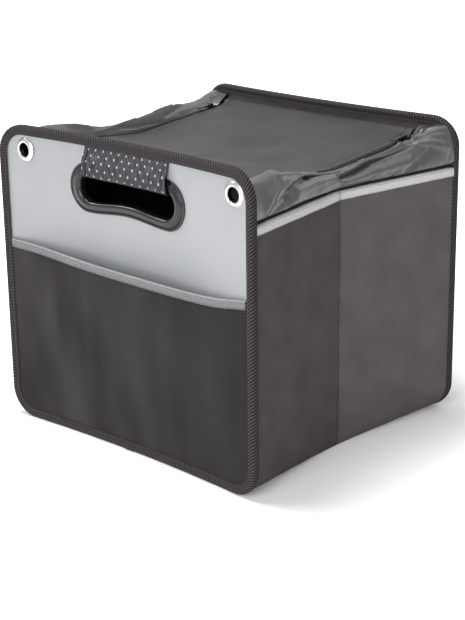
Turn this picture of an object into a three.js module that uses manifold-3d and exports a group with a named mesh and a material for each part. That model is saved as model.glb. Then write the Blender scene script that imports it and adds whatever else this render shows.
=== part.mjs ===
// A folding box for a car's boot, in millimetres, with +Z up and the handle end facing -Y.
// Two stiff end panels, bound in woven tape and bowed a little inwards, carry moulded handles and
// eyelets. Two cloth side walls, each over a pair of half boards, fold inwards at mid-depth.
// Nylon collars rise from the walls to a zipped lid that is sewn along the back panel.
import * as THREE from 'three';
import { mergeVertices } from 'three/addons/utils/BufferGeometryUtils.js';
import Module from 'manifold-3d';

const wasm = await Module();
wasm.setup();

// Overall size of the opened box
const WIDTH = 354;
const DEPTH = 318;
const HEIGHT = 320;
const GAP = 0.3; // between pieces that touch

// End panel: a board between the two legs of its binding, with a slot for sewn-in cloth on each side
const END_BOW = 10; // how far the middle of a panel is drawn inwards
const PANEL_CORNER = 31;
const TAPE_THICK = 1;
const TAPE_WIDTH = 10;
const CLOTH_THICK = 0.8;
const BOARD_THICK = 2.2;
const BOW_STRIPS = 8;
const CORNER_STEPS = 6;

// Handle: a bean-shaped ring in the panel, with a cloth sleeve round the bar above it
const HANDLE_DROP = 52; // the panel's top edge to the centres of its two round ends
const HANDLE_SIDE = 1; // the handle's middle to the right of the panel's
const HANDLE_HALF = 52; // from the middle to the centre of a round end
const HANDLE_ARCH = 4; // rise of its middle above its ends
const HOLE_RADIUS = 14;
const RING_WIDTH = 11.5;
const RING_WIDEN = 3; // how much wider the ring is at its two ends
const RING_PROUD = 3.4;
const RING_EDGE = 0.8;
const SLEEVE_WALL = 1.5; // of the ring's neck, which passes through the board
const BACK_RING_WIDTH = 9;
const BACK_RING_PROUD = 2;
const WRAP_HALF = 58.5;
const WRAP_DROP = 2.4; // how far the sleeve's underside hangs below the top of the hole's round ends

// Eyelets
const EYELET_SIDES = { left: 34.5, right: 27 }; // centre to that side edge of the panel
const EYELET_TOP = 25.3; // centre to the panel's top edge
const EYELET_BORE = 14.5;
const EYELET_OUTER = 25;
const EYELET_WALL = 0.95;
const EYELET_PROUD = 2;
const TURNED_SIDES = 16;

// End pocket
const POCKET_DROP = 121.7; // the panel's top edge to the ends of its mouth
const POCKET_SCOOP = 5.5; // how far its mouth dips
const POCKET_SKEW = 0.8; // puts the lowest point to the right of the middle
const POCKET_TUCK = 3.5; // panel edge to the cloth's sewn edge
const RIBBON_WIDTH = 8.5;
const RIBBON_THICK = 0.8;

// Side walls
const WALL_INSET = 2.5; // outer face to the panel's side edge, at the panels
const FOLD_IN = 28.5; // outer face to the panel's side edge, at the fold
const WALL_DROP = 52.5; // the panels' top edge to the wall's
const WALL_CLOTH = 1;
const HALF_BOARD = 2;

// Collars, zips and lid
const COLLAR_TUCK = 8; // how far a collar reaches down behind the wall's ribbon
const COLLAR_COLUMNS = 18;
const WRINKLE = 1.4;
const COLLAR_BELLY = 9; // room that a collar takes between the wall and its zip
const ZIP_IN = 40.1; // middle of a zip to the panel's side edge
const ZIP_DROP = 32; // the panels' top edge to a zip over the fold
const ZIP_RISE = 12; // height that it gains on its straight run to the back
const ZIP_END = 8; // the end of that run to the hinge line
const ZIP_MEET = 1.4; // between the two rows of teeth
const ZIP_HALF = 3.1; // width of one tape with its teeth
const TEETH_WIDTH = 1.4;
const TEETH_HIGH = 0.9;
const ZIP_STOP = 3; // the end of the lid's half of a zip to the hinge line
const HINGE_STAND = 3.2; // the lid's hinge line to the middle of the back panel
const HINGE_DROP = 14; // the panels' top edge to the hinge line
const COLLAR_RISE = 7; // of a collar's edge behind its half of the zip
const HINGE_GAP = 0.6;
const LID_SAG = 17;
const LID_FRONT_GAP = 5;

// Sliders and pulls
const SLIDER_LENGTH = 11;
const SLIDER_WIDTH = 7.2;
const SLIDER_PLATE = 1;
const SLIDER_POST = 0.8;
const SLIDER_IN = 22; // a parked slider to the hinge line
const SLIDER_FREE = 10; // a parked slider to the end of the collar's half
const PIN_RADIUS = 0.6;
const EYE_WALL = 0.6; // of metal round the pin, in the pull and in the slider's ears
const PULL_LENGTH = 20;
const PULL_WIDTH = 3.6;
const PULL_THICK = 1.2;
const EAR_THICK = 1;

// Base
const BASE_CLOTH = 1;
const BASE_BOARD = 3;
const BASE_CLEAR = 3; // loose board to the walls and panels round it
const BASE_CORNER = 8;

const HALF_WIDTH = WIDTH / 2;
const SLOT_OUT = TAPE_THICK + GAP; // depth of a sewn-in cloth's outer face
const BOARD_FRONT = SLOT_OUT + CLOTH_THICK + GAP;
const BOARD_BACK = BOARD_FRONT + BOARD_THICK;
const PANEL_THICK = BOARD_BACK + BOARD_FRONT;
const BOARD_INSET = TAPE_THICK + 2 * GAP;
const HANDLE_Z = HEIGHT - HANDLE_DROP;
const POCKET_HEIGHT = HEIGHT - POCKET_DROP;
const WALL_TOP = HEIGHT - WALL_DROP;
const ZIP_FOLD_Z = HEIGHT - ZIP_DROP;
const HINGE_Z = HEIGHT - HINGE_DROP;

const colours = {
  board: 0xc6c9cf, tape: 0x3c3839, ring: 0x2a2a2c, wrap: 0x58585c, eyelet: 0xc9c7c2,
  pocket: 0x454243, ribbon: 0xa9a9ac, wall: 0x5b5657, lining: 0x3a3839, nylon: 0x4c4c4e,
  lid: 0x5c5c5e, zip: 0x2b2b2d, metal: 0x707074,
};

function material(name, roughness = 0.8, metalness = 0) {
  return new THREE.MeshStandardMaterial({ color: colours[name], roughness, metalness });
}

function signedVolume(geometry) {
  const p = geometry.attributes.position;
  const [a, b, c] = [new THREE.Vector3(), new THREE.Vector3(), new THREE.Vector3()];
  let sum = 0;
  for (let i = 0; i < geometry.index.count; i += 3) {
    a.fromBufferAttribute(p, geometry.index.getX(i));
    b.fromBufferAttribute(p, geometry.index.getX(i + 1));
    c.fromBufferAttribute(p, geometry.index.getX(i + 2));
    sum += a.dot(b.cross(c));
  }
  return sum;
}

// One closed skin: shared corners are merged, and the faces are turned to point out.
function closed(geometry) {
  geometry.deleteAttribute('normal');
  geometry.deleteAttribute('uv');
  const merged = mergeVertices(geometry, 1e-4);
  if (signedVolume(merged) < 0) {
    const order = merged.index.array;
    for (let i = 0; i < order.length; i += 3) {
      [order[i], order[i + 1]] = [order[i + 1], order[i]];
    }
  }
  merged.computeVertexNormals();
  return merged;
}

function moved(geometry, place) {
  const p = geometry.attributes.position;
  for (let i = 0; i < p.count; i += 1) {
    const to = place(p.getX(i), p.getY(i), p.getZ(i));
    p.setXYZ(i, to.x, to.y, to.z);
  }
  return geometry;
}

// A sheet of cloth is a flat box of cells whose corners are laid where place(i, j, inner) says:
// column i, row j, on the outer face (inner = 0) or the inner one (inner = 1).
function cloth(columns, rows, place) {
  const flat = new THREE.BoxGeometry(1, 1, 1, columns, rows, 1);
  const put = (x, y, z) => place(Math.round((x + 0.5) * columns), Math.round((y + 0.5) * rows), z + 0.5);
  return closed(moved(flat, put));
}

// A ring is a torus whose corners are laid where place(station, sectionPoint) says.
function ring(stations, section, place) {
  const torus = new THREE.TorusGeometry(1, 0.5, section.length, stations.length);
  const p = torus.attributes.position;
  const stride = stations.length + 1;
  for (let i = 0; i < p.count; i += 1) {
    const station = stations[(i % stride) % stations.length];
    const to = place(station, section[Math.floor(i / stride) % section.length]);
    p.setXYZ(i, to.x, to.y, to.z);
  }
  return closed(torus);
}

// Cuts every triangle that crosses one of the planes x = planes[k], so that a flat sheet can be bowed.
function sliced(geometry, planes) {
  const points = [];
  const p = geometry.attributes.position;
  for (let i = 0; i < p.count; i += 1) points.push(new THREE.Vector3().fromBufferAttribute(p, i));
  let faces = [];
  for (let i = 0; i < geometry.index.count; i += 3) {
    faces.push([0, 1, 2].map((k) => geometry.index.getX(i + k)));
  }
  for (const x of planes) {
    const cuts = new Map();
    const side = (i) => (Math.abs(points[i].x - x) < 1e-6 ? 0 : Math.sign(points[i].x - x));
    const cut = (i, j) => {
      const key = i < j ? `${i},${j}` : `${j},${i}`;
      if (!cuts.has(key)) {
        const [a, b] = i < j ? [points[i], points[j]] : [points[j], points[i]];
        cuts.set(key, points.push(a.clone().lerp(b, (x - a.x) / (b.x - a.x))) - 1);
      }
      return cuts.get(key);
    };
    faces = faces.flatMap((face) => {
      const sides = face.map(side);
      if (sides.every((s) => s >= 0) || sides.every((s) => s <= 0)) return [face];
      const on = sides.indexOf(0);
      if (on >= 0) {
        const [a, b, c] = [face[on], face[(on + 1) % 3], face[(on + 2) % 3]];
        const m = cut(b, c);
        return [[a, b, m], [a, m, c]];
      }
      const k = sides.findIndex((s, n) => sides.filter((t) => t === s).length === 1 && sides[n] === s);
      const [a, b, c] = [face[k], face[(k + 1) % 3], face[(k + 2) % 3]];
      const [ab, ac] = [cut(a, b), cut(a, c)];
      return [[a, ab, ac], [ab, b, c], [ab, c, ac]];
    });
  }
  const result = new THREE.BufferGeometry().setFromPoints(points);
  result.setIndex(faces.flat());
  return result;
}

function solid(geometry) {
  const merged = closed(geometry);
  return new wasm.Manifold(new wasm.Mesh({
    numProp: 3,
    vertProperties: new Float32Array(merged.attributes.position.array),
    triVerts: new Uint32Array(merged.index.array),
  }));
}

function fromSolid(manifold) {
  const mesh = manifold.getMesh();
  const geometry = new THREE.BufferGeometry();
  geometry.setAttribute('position', new THREE.BufferAttribute(new Float32Array(mesh.vertProperties), 3));
  geometry.setIndex(new THREE.BufferAttribute(new Uint32Array(mesh.triVerts), 1));
  return closed(geometry);
}

const mix = (a, b, t) => a + (b - a) * t;
const evenly = (from, to, steps) => Array.from({ length: steps + 1 }, (_, i) => mix(from, to, i / steps));
const bowPlanes = evenly(-HALF_WIDTH, HALF_WIDTH, BOW_STRIPS).slice(1, -1);

// How far the panel is drawn inwards at x, and the place on it of a point at depth d from its outer edge
const bow = (x) => END_BOW * (1 - (x / HALF_WIDTH) ** 2);
const onPanel = (x, d, z) => new THREE.Vector3(x, -DEPTH / 2 + d + bow(x), z);
// Y of the nearest that an inner piece comes to the back panel, at x
const endFace = (x) => DEPTH / 2 - PANEL_THICK - GAP - bow(x);
const HINGE_Y = endFace(0) - HINGE_STAND;
const ZIP_RUN = HINGE_Y - ZIP_END;
const ZIP_BACK = HINGE_Y - ZIP_STOP;
const SLIDER_Y = HINGE_Y - SLIDER_IN;
const COLLAR_ZIP_BACK = SLIDER_Y - SLIDER_FREE;

// Stations round the panel's edge, each with its inward direction
function edgeStations() {
  const stations = [];
  const [cx, cz] = [HALF_WIDTH - PANEL_CORNER, HEIGHT / 2 - PANEL_CORNER];
  const corners = [[cx, -cz, -90], [cx, cz, 0], [-cx, cz, 90], [-cx, -cz, 180]];
  corners.forEach(([x, z, from], n) => {
    for (let k = 0; k <= CORNER_STEPS; k += 1) {
      const angle = THREE.MathUtils.degToRad(from + (90 * k) / CORNER_STEPS);
      const [nx, nz] = [Math.cos(angle), Math.sin(angle)];
      stations.push({ x: x + nx * PANEL_CORNER, z: HEIGHT / 2 + z + nz * PANEL_CORNER, nx: -nx, nz: -nz });
    }
    if (n % 2 === 1) {
      const along = bowPlanes.filter((px) => Math.abs(px) < cx);
      const top = n === 1;
      (top ? [...along].reverse() : along).forEach((px) => {
        stations.push({ x: px, z: top ? HEIGHT : 0, nx: 0, nz: top ? -1 : 1 });
      });
    }
  });
  return stations;
}

// The handle's outline at this distance outside the hole's edge
function bean(offset) {
  const radius = HOLE_RADIUS + offset;
  const half = HANDLE_HALF + (RING_WIDEN * offset) / RING_WIDTH;
  const points = [];
  const sideSteps = 8;
  const endSteps = 8;
  const quarter = Math.PI / 2;
  const at = (x, turn) => {
    const slope = Math.atan(-HANDLE_ARCH * (quarter / half) * Math.sin((quarter * x) / half));
    const z = HANDLE_Z + HANDLE_ARCH * Math.cos((quarter * x) / half);
    const angle = slope + turn;
    return new THREE.Vector2(HANDLE_SIDE + x + radius * Math.cos(angle), z + radius * Math.sin(angle));
  };
  for (const way of [1, -1]) {
    for (let i = 0; i < sideSteps; i += 1) {
      points.push(at(way * mix(-half, half, i / sideSteps), -way * quarter));
    }
    for (let i = 0; i < endSteps; i += 1) {
      points.push(at(way * half, -way * quarter + (Math.PI * i) / endSteps));
    }
  }
  return points;
}

const eyeletCentres = { left: EYELET_SIDES.left - HALF_WIDTH, right: HALF_WIDTH - EYELET_SIDES.right };
const EYELET_Z = HEIGHT - EYELET_TOP;
const barrelOuter = EYELET_BORE / 2 + EYELET_WALL;

function panelBoard() {
  const inset = ({ x, z, nx, nz }) => new THREE.Vector2(x + nx * BOARD_INSET, z + nz * BOARD_INSET);
  const shape = new THREE.Shape(edgeStations().map(inset));
  shape.holes.push(new THREE.Path(bean(SLEEVE_WALL + GAP)));
  const flat = new THREE.ExtrudeGeometry(shape, { depth: BOARD_THICK, bevelEnabled: false });
  const bowed = moved(sliced(closed(flat), bowPlanes), (x, y, z) => onPanel(x, BOARD_BACK - z, y));
  let board = solid(bowed);
  for (const x of Object.values(eyeletCentres)) {
    const radius = barrelOuter + GAP;
    const drill = new THREE.CylinderGeometry(radius, radius, 4 * BOARD_THICK, TURNED_SIDES);
    const middle = onPanel(x, BOARD_FRONT + BOARD_THICK / 2, EYELET_Z);
    board = board.subtract(solid(drill.translate(middle.x, middle.y, middle.z)));
  }
  return fromSolid(board);
}

function panelBinding() {
  const round = TAPE_THICK / 2;
  const inner = TAPE_THICK + GAP;
  const section = [
    [round, 0], [TAPE_WIDTH, 0], [TAPE_WIDTH, TAPE_THICK], [inner, TAPE_THICK],
    [inner, PANEL_THICK - TAPE_THICK], [TAPE_WIDTH, PANEL_THICK - TAPE_THICK],
    [TAPE_WIDTH, PANEL_THICK], [round, PANEL_THICK], [0, PANEL_THICK - round], [0, round],
  ];
  return ring(edgeStations(), section, (at, [s, d]) => onPanel(at.x + at.nx * s, d, at.z + at.nz * s));
}

function beanRing(section) {
  const outlines = section.map(([offset]) => bean(offset));
  const stations = outlines[0].map((_, i) => i);
  const rows = section.map(([, d], n) => ({ outline: outlines[n], d }));
  return ring(stations, rows, (i, row) => onPanel(row.outline[i].x, row.d, row.outline[i].y));
}

// The front ring: a thin lip, a groove, then a fat rim that rolls into the hole and through the board
function handleRing() {
  const seat = BOARD_FRONT - GAP;
  const crest = BOARD_FRONT - GAP - RING_PROUD;
  const neck = BOARD_BACK + GAP + BACK_RING_PROUD;
  return beanRing([
    [0, neck], [0, crest + 1], [0.8, crest + 0.3], [2.6, crest], [6, crest + 0.4],
    [8.7, crest + 1.5], [9.5, seat - RING_EDGE - 0.1], [10.2, seat - RING_EDGE - 0.4],
    [RING_WIDTH, seat - RING_EDGE], [RING_WIDTH, seat], [SLEEVE_WALL, seat], [SLEEVE_WALL, neck],
  ]);
}

function handleBackRing() {
  const seat = BOARD_BACK + GAP;
  const inner = SLEEVE_WALL + GAP;
  return beanRing([
    [inner, seat], [BACK_RING_WIDTH, seat], [BACK_RING_WIDTH, seat + 0.7],
    [6, seat + BACK_RING_PROUD - 0.3], [inner, seat + BACK_RING_PROUD],
  ]);
}

// Offsets a path in (depth, height) to its outer side
function offsetPath(path, by) {
  return path.map(([d, z], i) => {
    const [before, after] = [path[Math.max(i - 1, 0)], path[Math.min(i + 1, path.length - 1)]];
    const [dd, dz] = [after[0] - before[0], after[1] - before[1]];
    const length = Math.hypot(dd, dz);
    return [d + (by * dz) / length, z - (by * dd) / length];
  });
}

// The sleeve's cloth leaves the binding, passes over the ring's top, under the bar and up its back
function handleWrap() {
  const top = HEIGHT - TAPE_WIDTH;
  const front = BOARD_FRONT - RING_PROUD - 2 * GAP;
  const back = BOARD_BACK + BACK_RING_PROUD + 2 * GAP;
  const slotFront = BOARD_FRONT - GAP;
  const slotBack = BOARD_BACK + GAP;
  const low = HANDLE_Z + HOLE_RADIUS - WRAP_DROP;
  const over = HANDLE_Z + HANDLE_ARCH + HOLE_RADIUS + RING_WIDTH + GAP;
  const inner = [
    [slotFront, top + 3], [slotFront, top - 0.5], [mix(slotFront, front, 0.45), mix(top, over, 0.4)],
    [mix(slotFront, front, 0.85), mix(top, over, 0.8)], [front, over - 1.5], [front, low + 4],
    [front + 0.4, low + 1.2], [front + 1.8, low], [back - 0.8, low], [back - 0.05, low + 0.5],
    [back, low + 4], [back, over - 1.5], [mix(slotBack, back, 0.85), mix(top, over, 0.8)],
    [mix(slotBack, back, 0.45), mix(top, over, 0.4)], [slotBack, top - 0.5], [slotBack, top + 3],
  ];
  const outer = offsetPath(inner, CLOTH_THICK);
  const across = evenly(HANDLE_SIDE - WRAP_HALF, HANDLE_SIDE + WRAP_HALF, 6);
  return cloth(across.length - 1, inner.length - 1, (i, j, w) => {
    const [d, z] = w === 1 ? inner[j] : outer[j];
    return onPanel(across[i], d, z);
  });
}

// An eyelet is turned round its own axis, so its profile closes on itself: radius, then depth
function turned(profile, x) {
  const points = [...profile, profile[0]].map(([r, d]) => new THREE.Vector2(r, d));
  const lathe = new THREE.LatheGeometry(points, TURNED_SIDES);
  return closed(moved(lathe, (px, d, pz) => onPanel(x + px, d, EYELET_Z + pz)));
}

function eyelet(x) {
  const face = BOARD_FRONT - GAP;
  const [bore, outer] = [EYELET_BORE / 2, EYELET_OUTER / 2];
  return turned([
    [bore, BOARD_BACK + 2 * GAP + CLOTH_THICK], [bore, face - EYELET_PROUD + 0.9],
    [bore + 0.7, face - EYELET_PROUD + 0.2], [bore + 2, face - EYELET_PROUD],
    [outer - 1.2, face - EYELET_PROUD + 0.9], [outer, face], [barrelOuter, face],
    [barrelOuter, BOARD_BACK + 2 * GAP + CLOTH_THICK],
  ], x);
}

function eyeletWasher(x) {
  const [inner, outer] = [barrelOuter + GAP, EYELET_OUTER / 2];
  const face = BOARD_BACK + GAP;
  return turned([[inner, face], [outer, face], [outer, face + CLOTH_THICK], [inner, face + CLOTH_THICK]], x);
}

// The pocket's mouth dips between its sewn sides; its cloth spans straight there, clear of the bowed board
const POCKET_HALF = HALF_WIDTH - TAPE_WIDTH - 2.5;
const MOUTH_STAND = RIBBON_THICK + 3 * GAP;
const dip = (x) => {
  const t = THREE.MathUtils.clamp(x / POCKET_HALF, -1, 1);
  return POCKET_SCOOP * (1 - t * t) * (1 + POCKET_SKEW * t);
};
const mouth = (x) => POCKET_HEIGHT - dip(x);
function pocketDepth(x, z) {
  const t = THREE.MathUtils.clamp(x / POCKET_HALF, -1, 1);
  const open = THREE.MathUtils.clamp((z - TAPE_WIDTH - 1) / (POCKET_HEIGHT - TAPE_WIDTH), 0, 1) ** 1.3;
  const span = Math.abs(x) > POCKET_HALF + GAP ? 0 : bow(x) - bow(POCKET_HALF) + MOUTH_STAND;
  const fold = 0.8 * Math.sin(x / 9 + z / 70) * (1 - t ** 4) * Math.sin(Math.PI * Math.min(open, 0.95));
  return SLOT_OUT - span * open - fold;
}

function pocketColumns() {
  const sewn = HALF_WIDTH - POCKET_TUCK;
  const underTape = HALF_WIDTH - TAPE_WIDTH + GAP;
  return [-sewn, -underTape, ...evenly(-POCKET_HALF, POCKET_HALF, 10), underTape, sewn];
}

function endPocket() {
  const columns = pocketColumns();
  const rows = [0, 0.03, 0.08, 0.14, 0.3, 0.5, 0.7, 0.85, 1];
  const corner = PANEL_CORNER - POCKET_TUCK;
  return cloth(columns.length - 1, rows.length - 1, (i, j, w) => {
    const z = mix(POCKET_TUCK, mouth(columns[i]), rows[j]);
    const drop = Math.max(PANEL_CORNER - z, 0);
    const narrow = corner - Math.sqrt(Math.max(corner ** 2 - drop ** 2, 0));
    const x = columns[i] * (1 - narrow / (HALF_WIDTH - POCKET_TUCK));
    return onPanel(x, pocketDepth(x, z) + w * CLOTH_THICK, z);
  });
}

// A ribbon folded over an edge of this thickness: pairs of outer and inner points, (depth, height)
function folded(thickness) {
  const out = GAP + RIBBON_THICK;
  const [cut, cutIn] = [0.5, 0.2];
  return [
    [[-out, -RIBBON_WIDTH], [-GAP, -RIBBON_WIDTH]],
    [[-out, out - cut], [-GAP, GAP - cutIn]],
    [[-out + cut, out], [-GAP + cutIn, GAP]],
    [[thickness + out - cut, out], [thickness + GAP - cutIn, GAP]],
    [[thickness + out, out - cut], [thickness + GAP, GAP - cutIn]],
    [[thickness + out, -RIBBON_WIDTH], [thickness + GAP, -RIBBON_WIDTH]],
  ];
}

function pocketRibbon() {
  const columns = evenly(-POCKET_HALF + GAP, POCKET_HALF - GAP, 10);
  const path = folded(CLOTH_THICK);
  return cloth(columns.length - 1, path.length - 1, (i, j, w) => {
    const [d, rise] = path[j][w];
    const z = mouth(columns[i]) + rise;
    return onPanel(columns[i], pocketDepth(columns[i], Math.min(z, mouth(columns[i]))) + d, z);
  });
}

function addEnd(to, side) {
  const end = new THREE.Group();
  const add = (name, geometry, look) => {
    const mesh = new THREE.Mesh(geometry, look);
    mesh.name = `${side}_${name}`;
    end.add(mesh);
  };
  add('board', panelBoard(), material('board', 0.5));
  add('binding', panelBinding(), material('tape', 0.9));
  add('handle_ring', handleRing(), material('ring', 0.35));
  add('handle_back_ring', handleBackRing(), material('ring', 0.35));
  add('handle_wrap', handleWrap(), material('wrap', 0.95));
  for (const [hand, x] of Object.entries(eyeletCentres)) {
    add(`eyelet_${hand}`, eyelet(x), material('eyelet', 0.2, 1));
    add(`eyelet_washer_${hand}`, eyeletWasher(x), material('eyelet', 0.3, 1));
  }
  add('pocket', endPocket(), material('pocket', 0.9));
  add('pocket_ribbon', pocketRibbon(), material('ribbon', 0.8));
  end.rotation.z = side === 'back' ? Math.PI : 0;
  to.add(end);
}

// Side wall. Its outer face lies foldIn(n) inside the panel's side edge, with n from -1 at the front
// panel to 1 at the back, and at the foot it rounds in to the base as the panel's corner does.
const foldIn = (n) => mix(FOLD_IN, WALL_INSET, Math.abs(n));
function onWall(hand, n, row, t) {
  const f = foldIn(n);
  const across = PANEL_CORNER - (PANEL_CORNER - f - t) * Math.sin(row.turn);
  const z = row.turn < Math.PI / 2 ? PANEL_CORNER - (PANEL_CORNER - t) * Math.cos(row.turn) : row.z;
  const atEnd = PANEL_CORNER - (PANEL_CORNER - WALL_INSET - t) * Math.sin(row.turn);
  return new THREE.Vector3(hand * (HALF_WIDTH - across), n * endFace(HALF_WIDTH - atEnd), z);
}

const footRows = [0, 18, 36, 54, 70, 82].map((turn) => ({ turn: THREE.MathUtils.degToRad(turn) }));
const upright = (z) => ({ turn: Math.PI / 2, z });
const halfBoardOut = WALL_CLOTH + GAP;
const liningOut = halfBoardOut + HALF_BOARD + GAP;
const wallThick = liningOut + CLOTH_THICK;

function wallSheet(hand, outer, thick, columns) {
  const rows = [...footRows, ...evenly(PANEL_CORNER, WALL_TOP, 3).map(upright)];
  return cloth(columns, rows.length - 1, (i, j, w) => {
    return onWall(hand, -1 + (2 * i) / columns, rows[j], outer + w * thick);
  });
}

// A half board ends where the cloth at the wall's foot starts to round inwards
function boardFoot(n) {
  const reach = PANEL_CORNER - foldIn(n) - WALL_CLOTH;
  const sine = Math.max(1 - (0.5 * GAP) / reach, 0.5);
  return PANEL_CORNER - (PANEL_CORNER - WALL_CLOTH) * Math.sqrt(1 - sine ** 2) + GAP;
}

function halfBoard(hand, end) {
  const columns = 6;
  return cloth(columns, 1, (i, j, w) => {
    const n = end * mix(0.02, 0.985, i / columns);
    const z = j === 0 ? boardFoot(n) : WALL_TOP - GAP;
    return onWall(hand, n, upright(z), halfBoardOut + w * HALF_BOARD);
  });
}

function wallRibbon(hand) {
  const path = folded(wallThick);
  return cloth(2, path.length - 1, (i, j, w) => {
    const [t, rise] = path[j][w];
    return onWall(hand, i - 1, upright(WALL_TOP + rise), t);
  });
}

// Height of a zip, and of a collar's crest above it at nine places from the front panel to the back
const zipZ = (y) => ZIP_FOLD_Z + (ZIP_RISE * Math.abs(y)) / ZIP_RUN;
const CREST_LIFTS = {
  left: [9, 10, 8, 6, 7, 8, 8, 7, 8],
  right: [8, 10, 5.5, 2, 1, 1, 1.5, 3, 8],
};
function crestZ(name, n) {
  const lifts = CREST_LIFTS[name];
  const at = ((n + 1) / 2) * (lifts.length - 1);
  const before = Math.min(Math.floor(at), lifts.length - 2);
  return zipZ(n * ZIP_RUN) + mix(lifts[before], lifts[before + 1], at - before);
}

// Nylon collar: up from behind the ribbon, over a soft crest and across to the zip, with slanting wrinkles.
// Over the fold, where the zip comes nearest to the wall, it bellies out.
function collar(name, hand) {
  const behind = wallThick + 2 * GAP + RIBBON_THICK;
  const edge = ZIP_IN - ZIP_MEET / 2 - ZIP_HALF - GAP;
  const foot = WALL_TOP - COLLAR_TUCK;
  const start = WALL_TOP + GAP + RIBBON_THICK + 1.5;
  const shape = [
    [0, -1, 0], [0, 0, 0], [-0.1, 0.25, 0.5], [-0.12, 0.5, 0.9], [-0.06, 0.78, 1], [0.12, 0.97, 0.8],
    [0.4, 1, 0.5], [0.72, 0.6, 0.2], [1, 0, 0],
  ];
  const paths = evenly(-1, 1, COLLAR_COLUMNS).map((n) => {
    const f = foldIn(n) + behind;
    const reach = edge - f;
    const belly = Math.max(COLLAR_BELLY - reach, 0);
    const crest = crestZ(name, n);
    const seam = zipZ(n * ZIP_RUN) + COLLAR_RISE * THREE.MathUtils.smoothstep(n, 0.8, 1);
    const outer = shape.map(([across, rise, out], j) => {
      const free = Math.sin((Math.PI * Math.max(j - 1, 0)) / (shape.length - 2));
      const ripple = WRINKLE * free * (Math.sin(15 * n + 0.9 * j) + 0.6 * Math.sin(27 * n - 1.3 * j + 2));
      const low = across > 0.2 ? seam : start;
      const level = across > 0.2 ? 1 : 0;
      const z = rise < 0 ? foot : mix(low, crest, rise);
      return [f + across * reach - out * belly - (1 - level) * ripple, z + level * ripple];
    });
    return { n, outer, inner: offsetPath(outer, CLOTH_THICK) };
  });
  return cloth(COLLAR_COLUMNS, shape.length - 1, (i, j, w) => {
    const [inset, z] = (w === 0 ? paths[i].outer : paths[i].inner)[j];
    const x = HALF_WIDTH - inset;
    return new THREE.Vector3(hand * x, paths[i].n * endFace(x), z);
  });
}

// Half of a zip: a tape with its row of teeth at the edge, following the bend of the collar over the fold
function zipHalf(hand, part, back) {
  const front = -endFace(HALF_WIDTH - ZIP_IN) + LID_FRONT_GAP;
  const stations = [front, 0, back];
  const way = part === 'collar' ? -1 : 1;
  const teeth = ZIP_IN + (way * ZIP_MEET) / 2;
  const section = [
    [ZIP_HALF, -CLOTH_THICK], [0, -CLOTH_THICK], [0, TEETH_HIGH], [TEETH_WIDTH, TEETH_HIGH],
    [TEETH_WIDTH + 0.6, 0], [ZIP_HALF, 0],
  ];
  const shape = new THREE.Shape(section.map(([s, h]) => new THREE.Vector2(s, h)));
  const bar = new THREE.ExtrudeGeometry(shape, { depth: 1, steps: stations.length - 1, bevelEnabled: false });
  return closed(moved(bar, (s, h, along) => {
    const y = stations[Math.round(along * (stations.length - 1))];
    return new THREE.Vector3(hand * (HALF_WIDTH - teeth - way * s), y, zipZ(y) + h);
  }));
}

// The lid's middle sags in a smooth curve, and its sides follow the zips
const LID_HALF = HALF_WIDTH - ZIP_IN - ZIP_MEET / 2 - ZIP_HALF - GAP;
const lidBack = HINGE_Y - HINGE_GAP / 2;
function lidHeight(x, y) {
  const t = THREE.MathUtils.clamp(1 - (x / LID_HALF) ** 2, 0, 1);
  const fromFold = y / ZIP_RUN;
  const middle = HINGE_Z - LID_SAG * (1 - Math.min(fromFold ** 2, 1));
  return mix(zipZ(y), middle, t ** 0.6);
}

function lidSheet() {
  const columns = evenly(-LID_HALF, LID_HALF, 12);
  const rows = [0, 0.08, 0.18, 0.3, 0.4, 0.495, 0.6, 0.7, 0.8, 0.88, 0.945, 1];
  return cloth(columns.length - 1, rows.length - 1, (i, j, w) => {
    const x = columns[i];
    const front = -endFace(x) + LID_FRONT_GAP;
    const fold = rows[5];
    const y = rows[j] < fold ? mix(front, 0, rows[j] / fold) : mix(0, lidBack, (rows[j] - fold) / (1 - fold));
    const z = j === rows.length - 1 ? HINGE_Z : lidHeight(x, y);
    return new THREE.Vector3(x, y, z - w * CLOTH_THICK);
  });
}

// The strip that joins the bowed back panel to the lid's straight sewn edge
function hingeStrip() {
  const half = LID_HALF + ZIP_MEET + 2 * ZIP_HALF;
  const columns = evenly(-half, half, BOW_STRIPS);
  return cloth(columns.length - 1, 1, (i, j, w) => {
    const y = w === 0 ? HINGE_Y + HINGE_GAP / 2 : endFace(columns[i]);
    return new THREE.Vector3(columns[i], y, j === 0 ? HINGE_Z - CLOTH_THICK : HEIGHT - TAPE_WIDTH - GAP);
  });
}

// Slider and pull stand in a frame of their own: X across the zip, Y along it and Z up from its tape
const pullEye = PIN_RADIUS + GAP + EYE_WALL;
const pinZ = TEETH_HIGH + GAP + SLIDER_PLATE + GAP + pullEye;

function plate(width, length, height, x, y, z) {
  return new THREE.BoxGeometry(width, length, height).translate(x, y, z);
}

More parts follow.
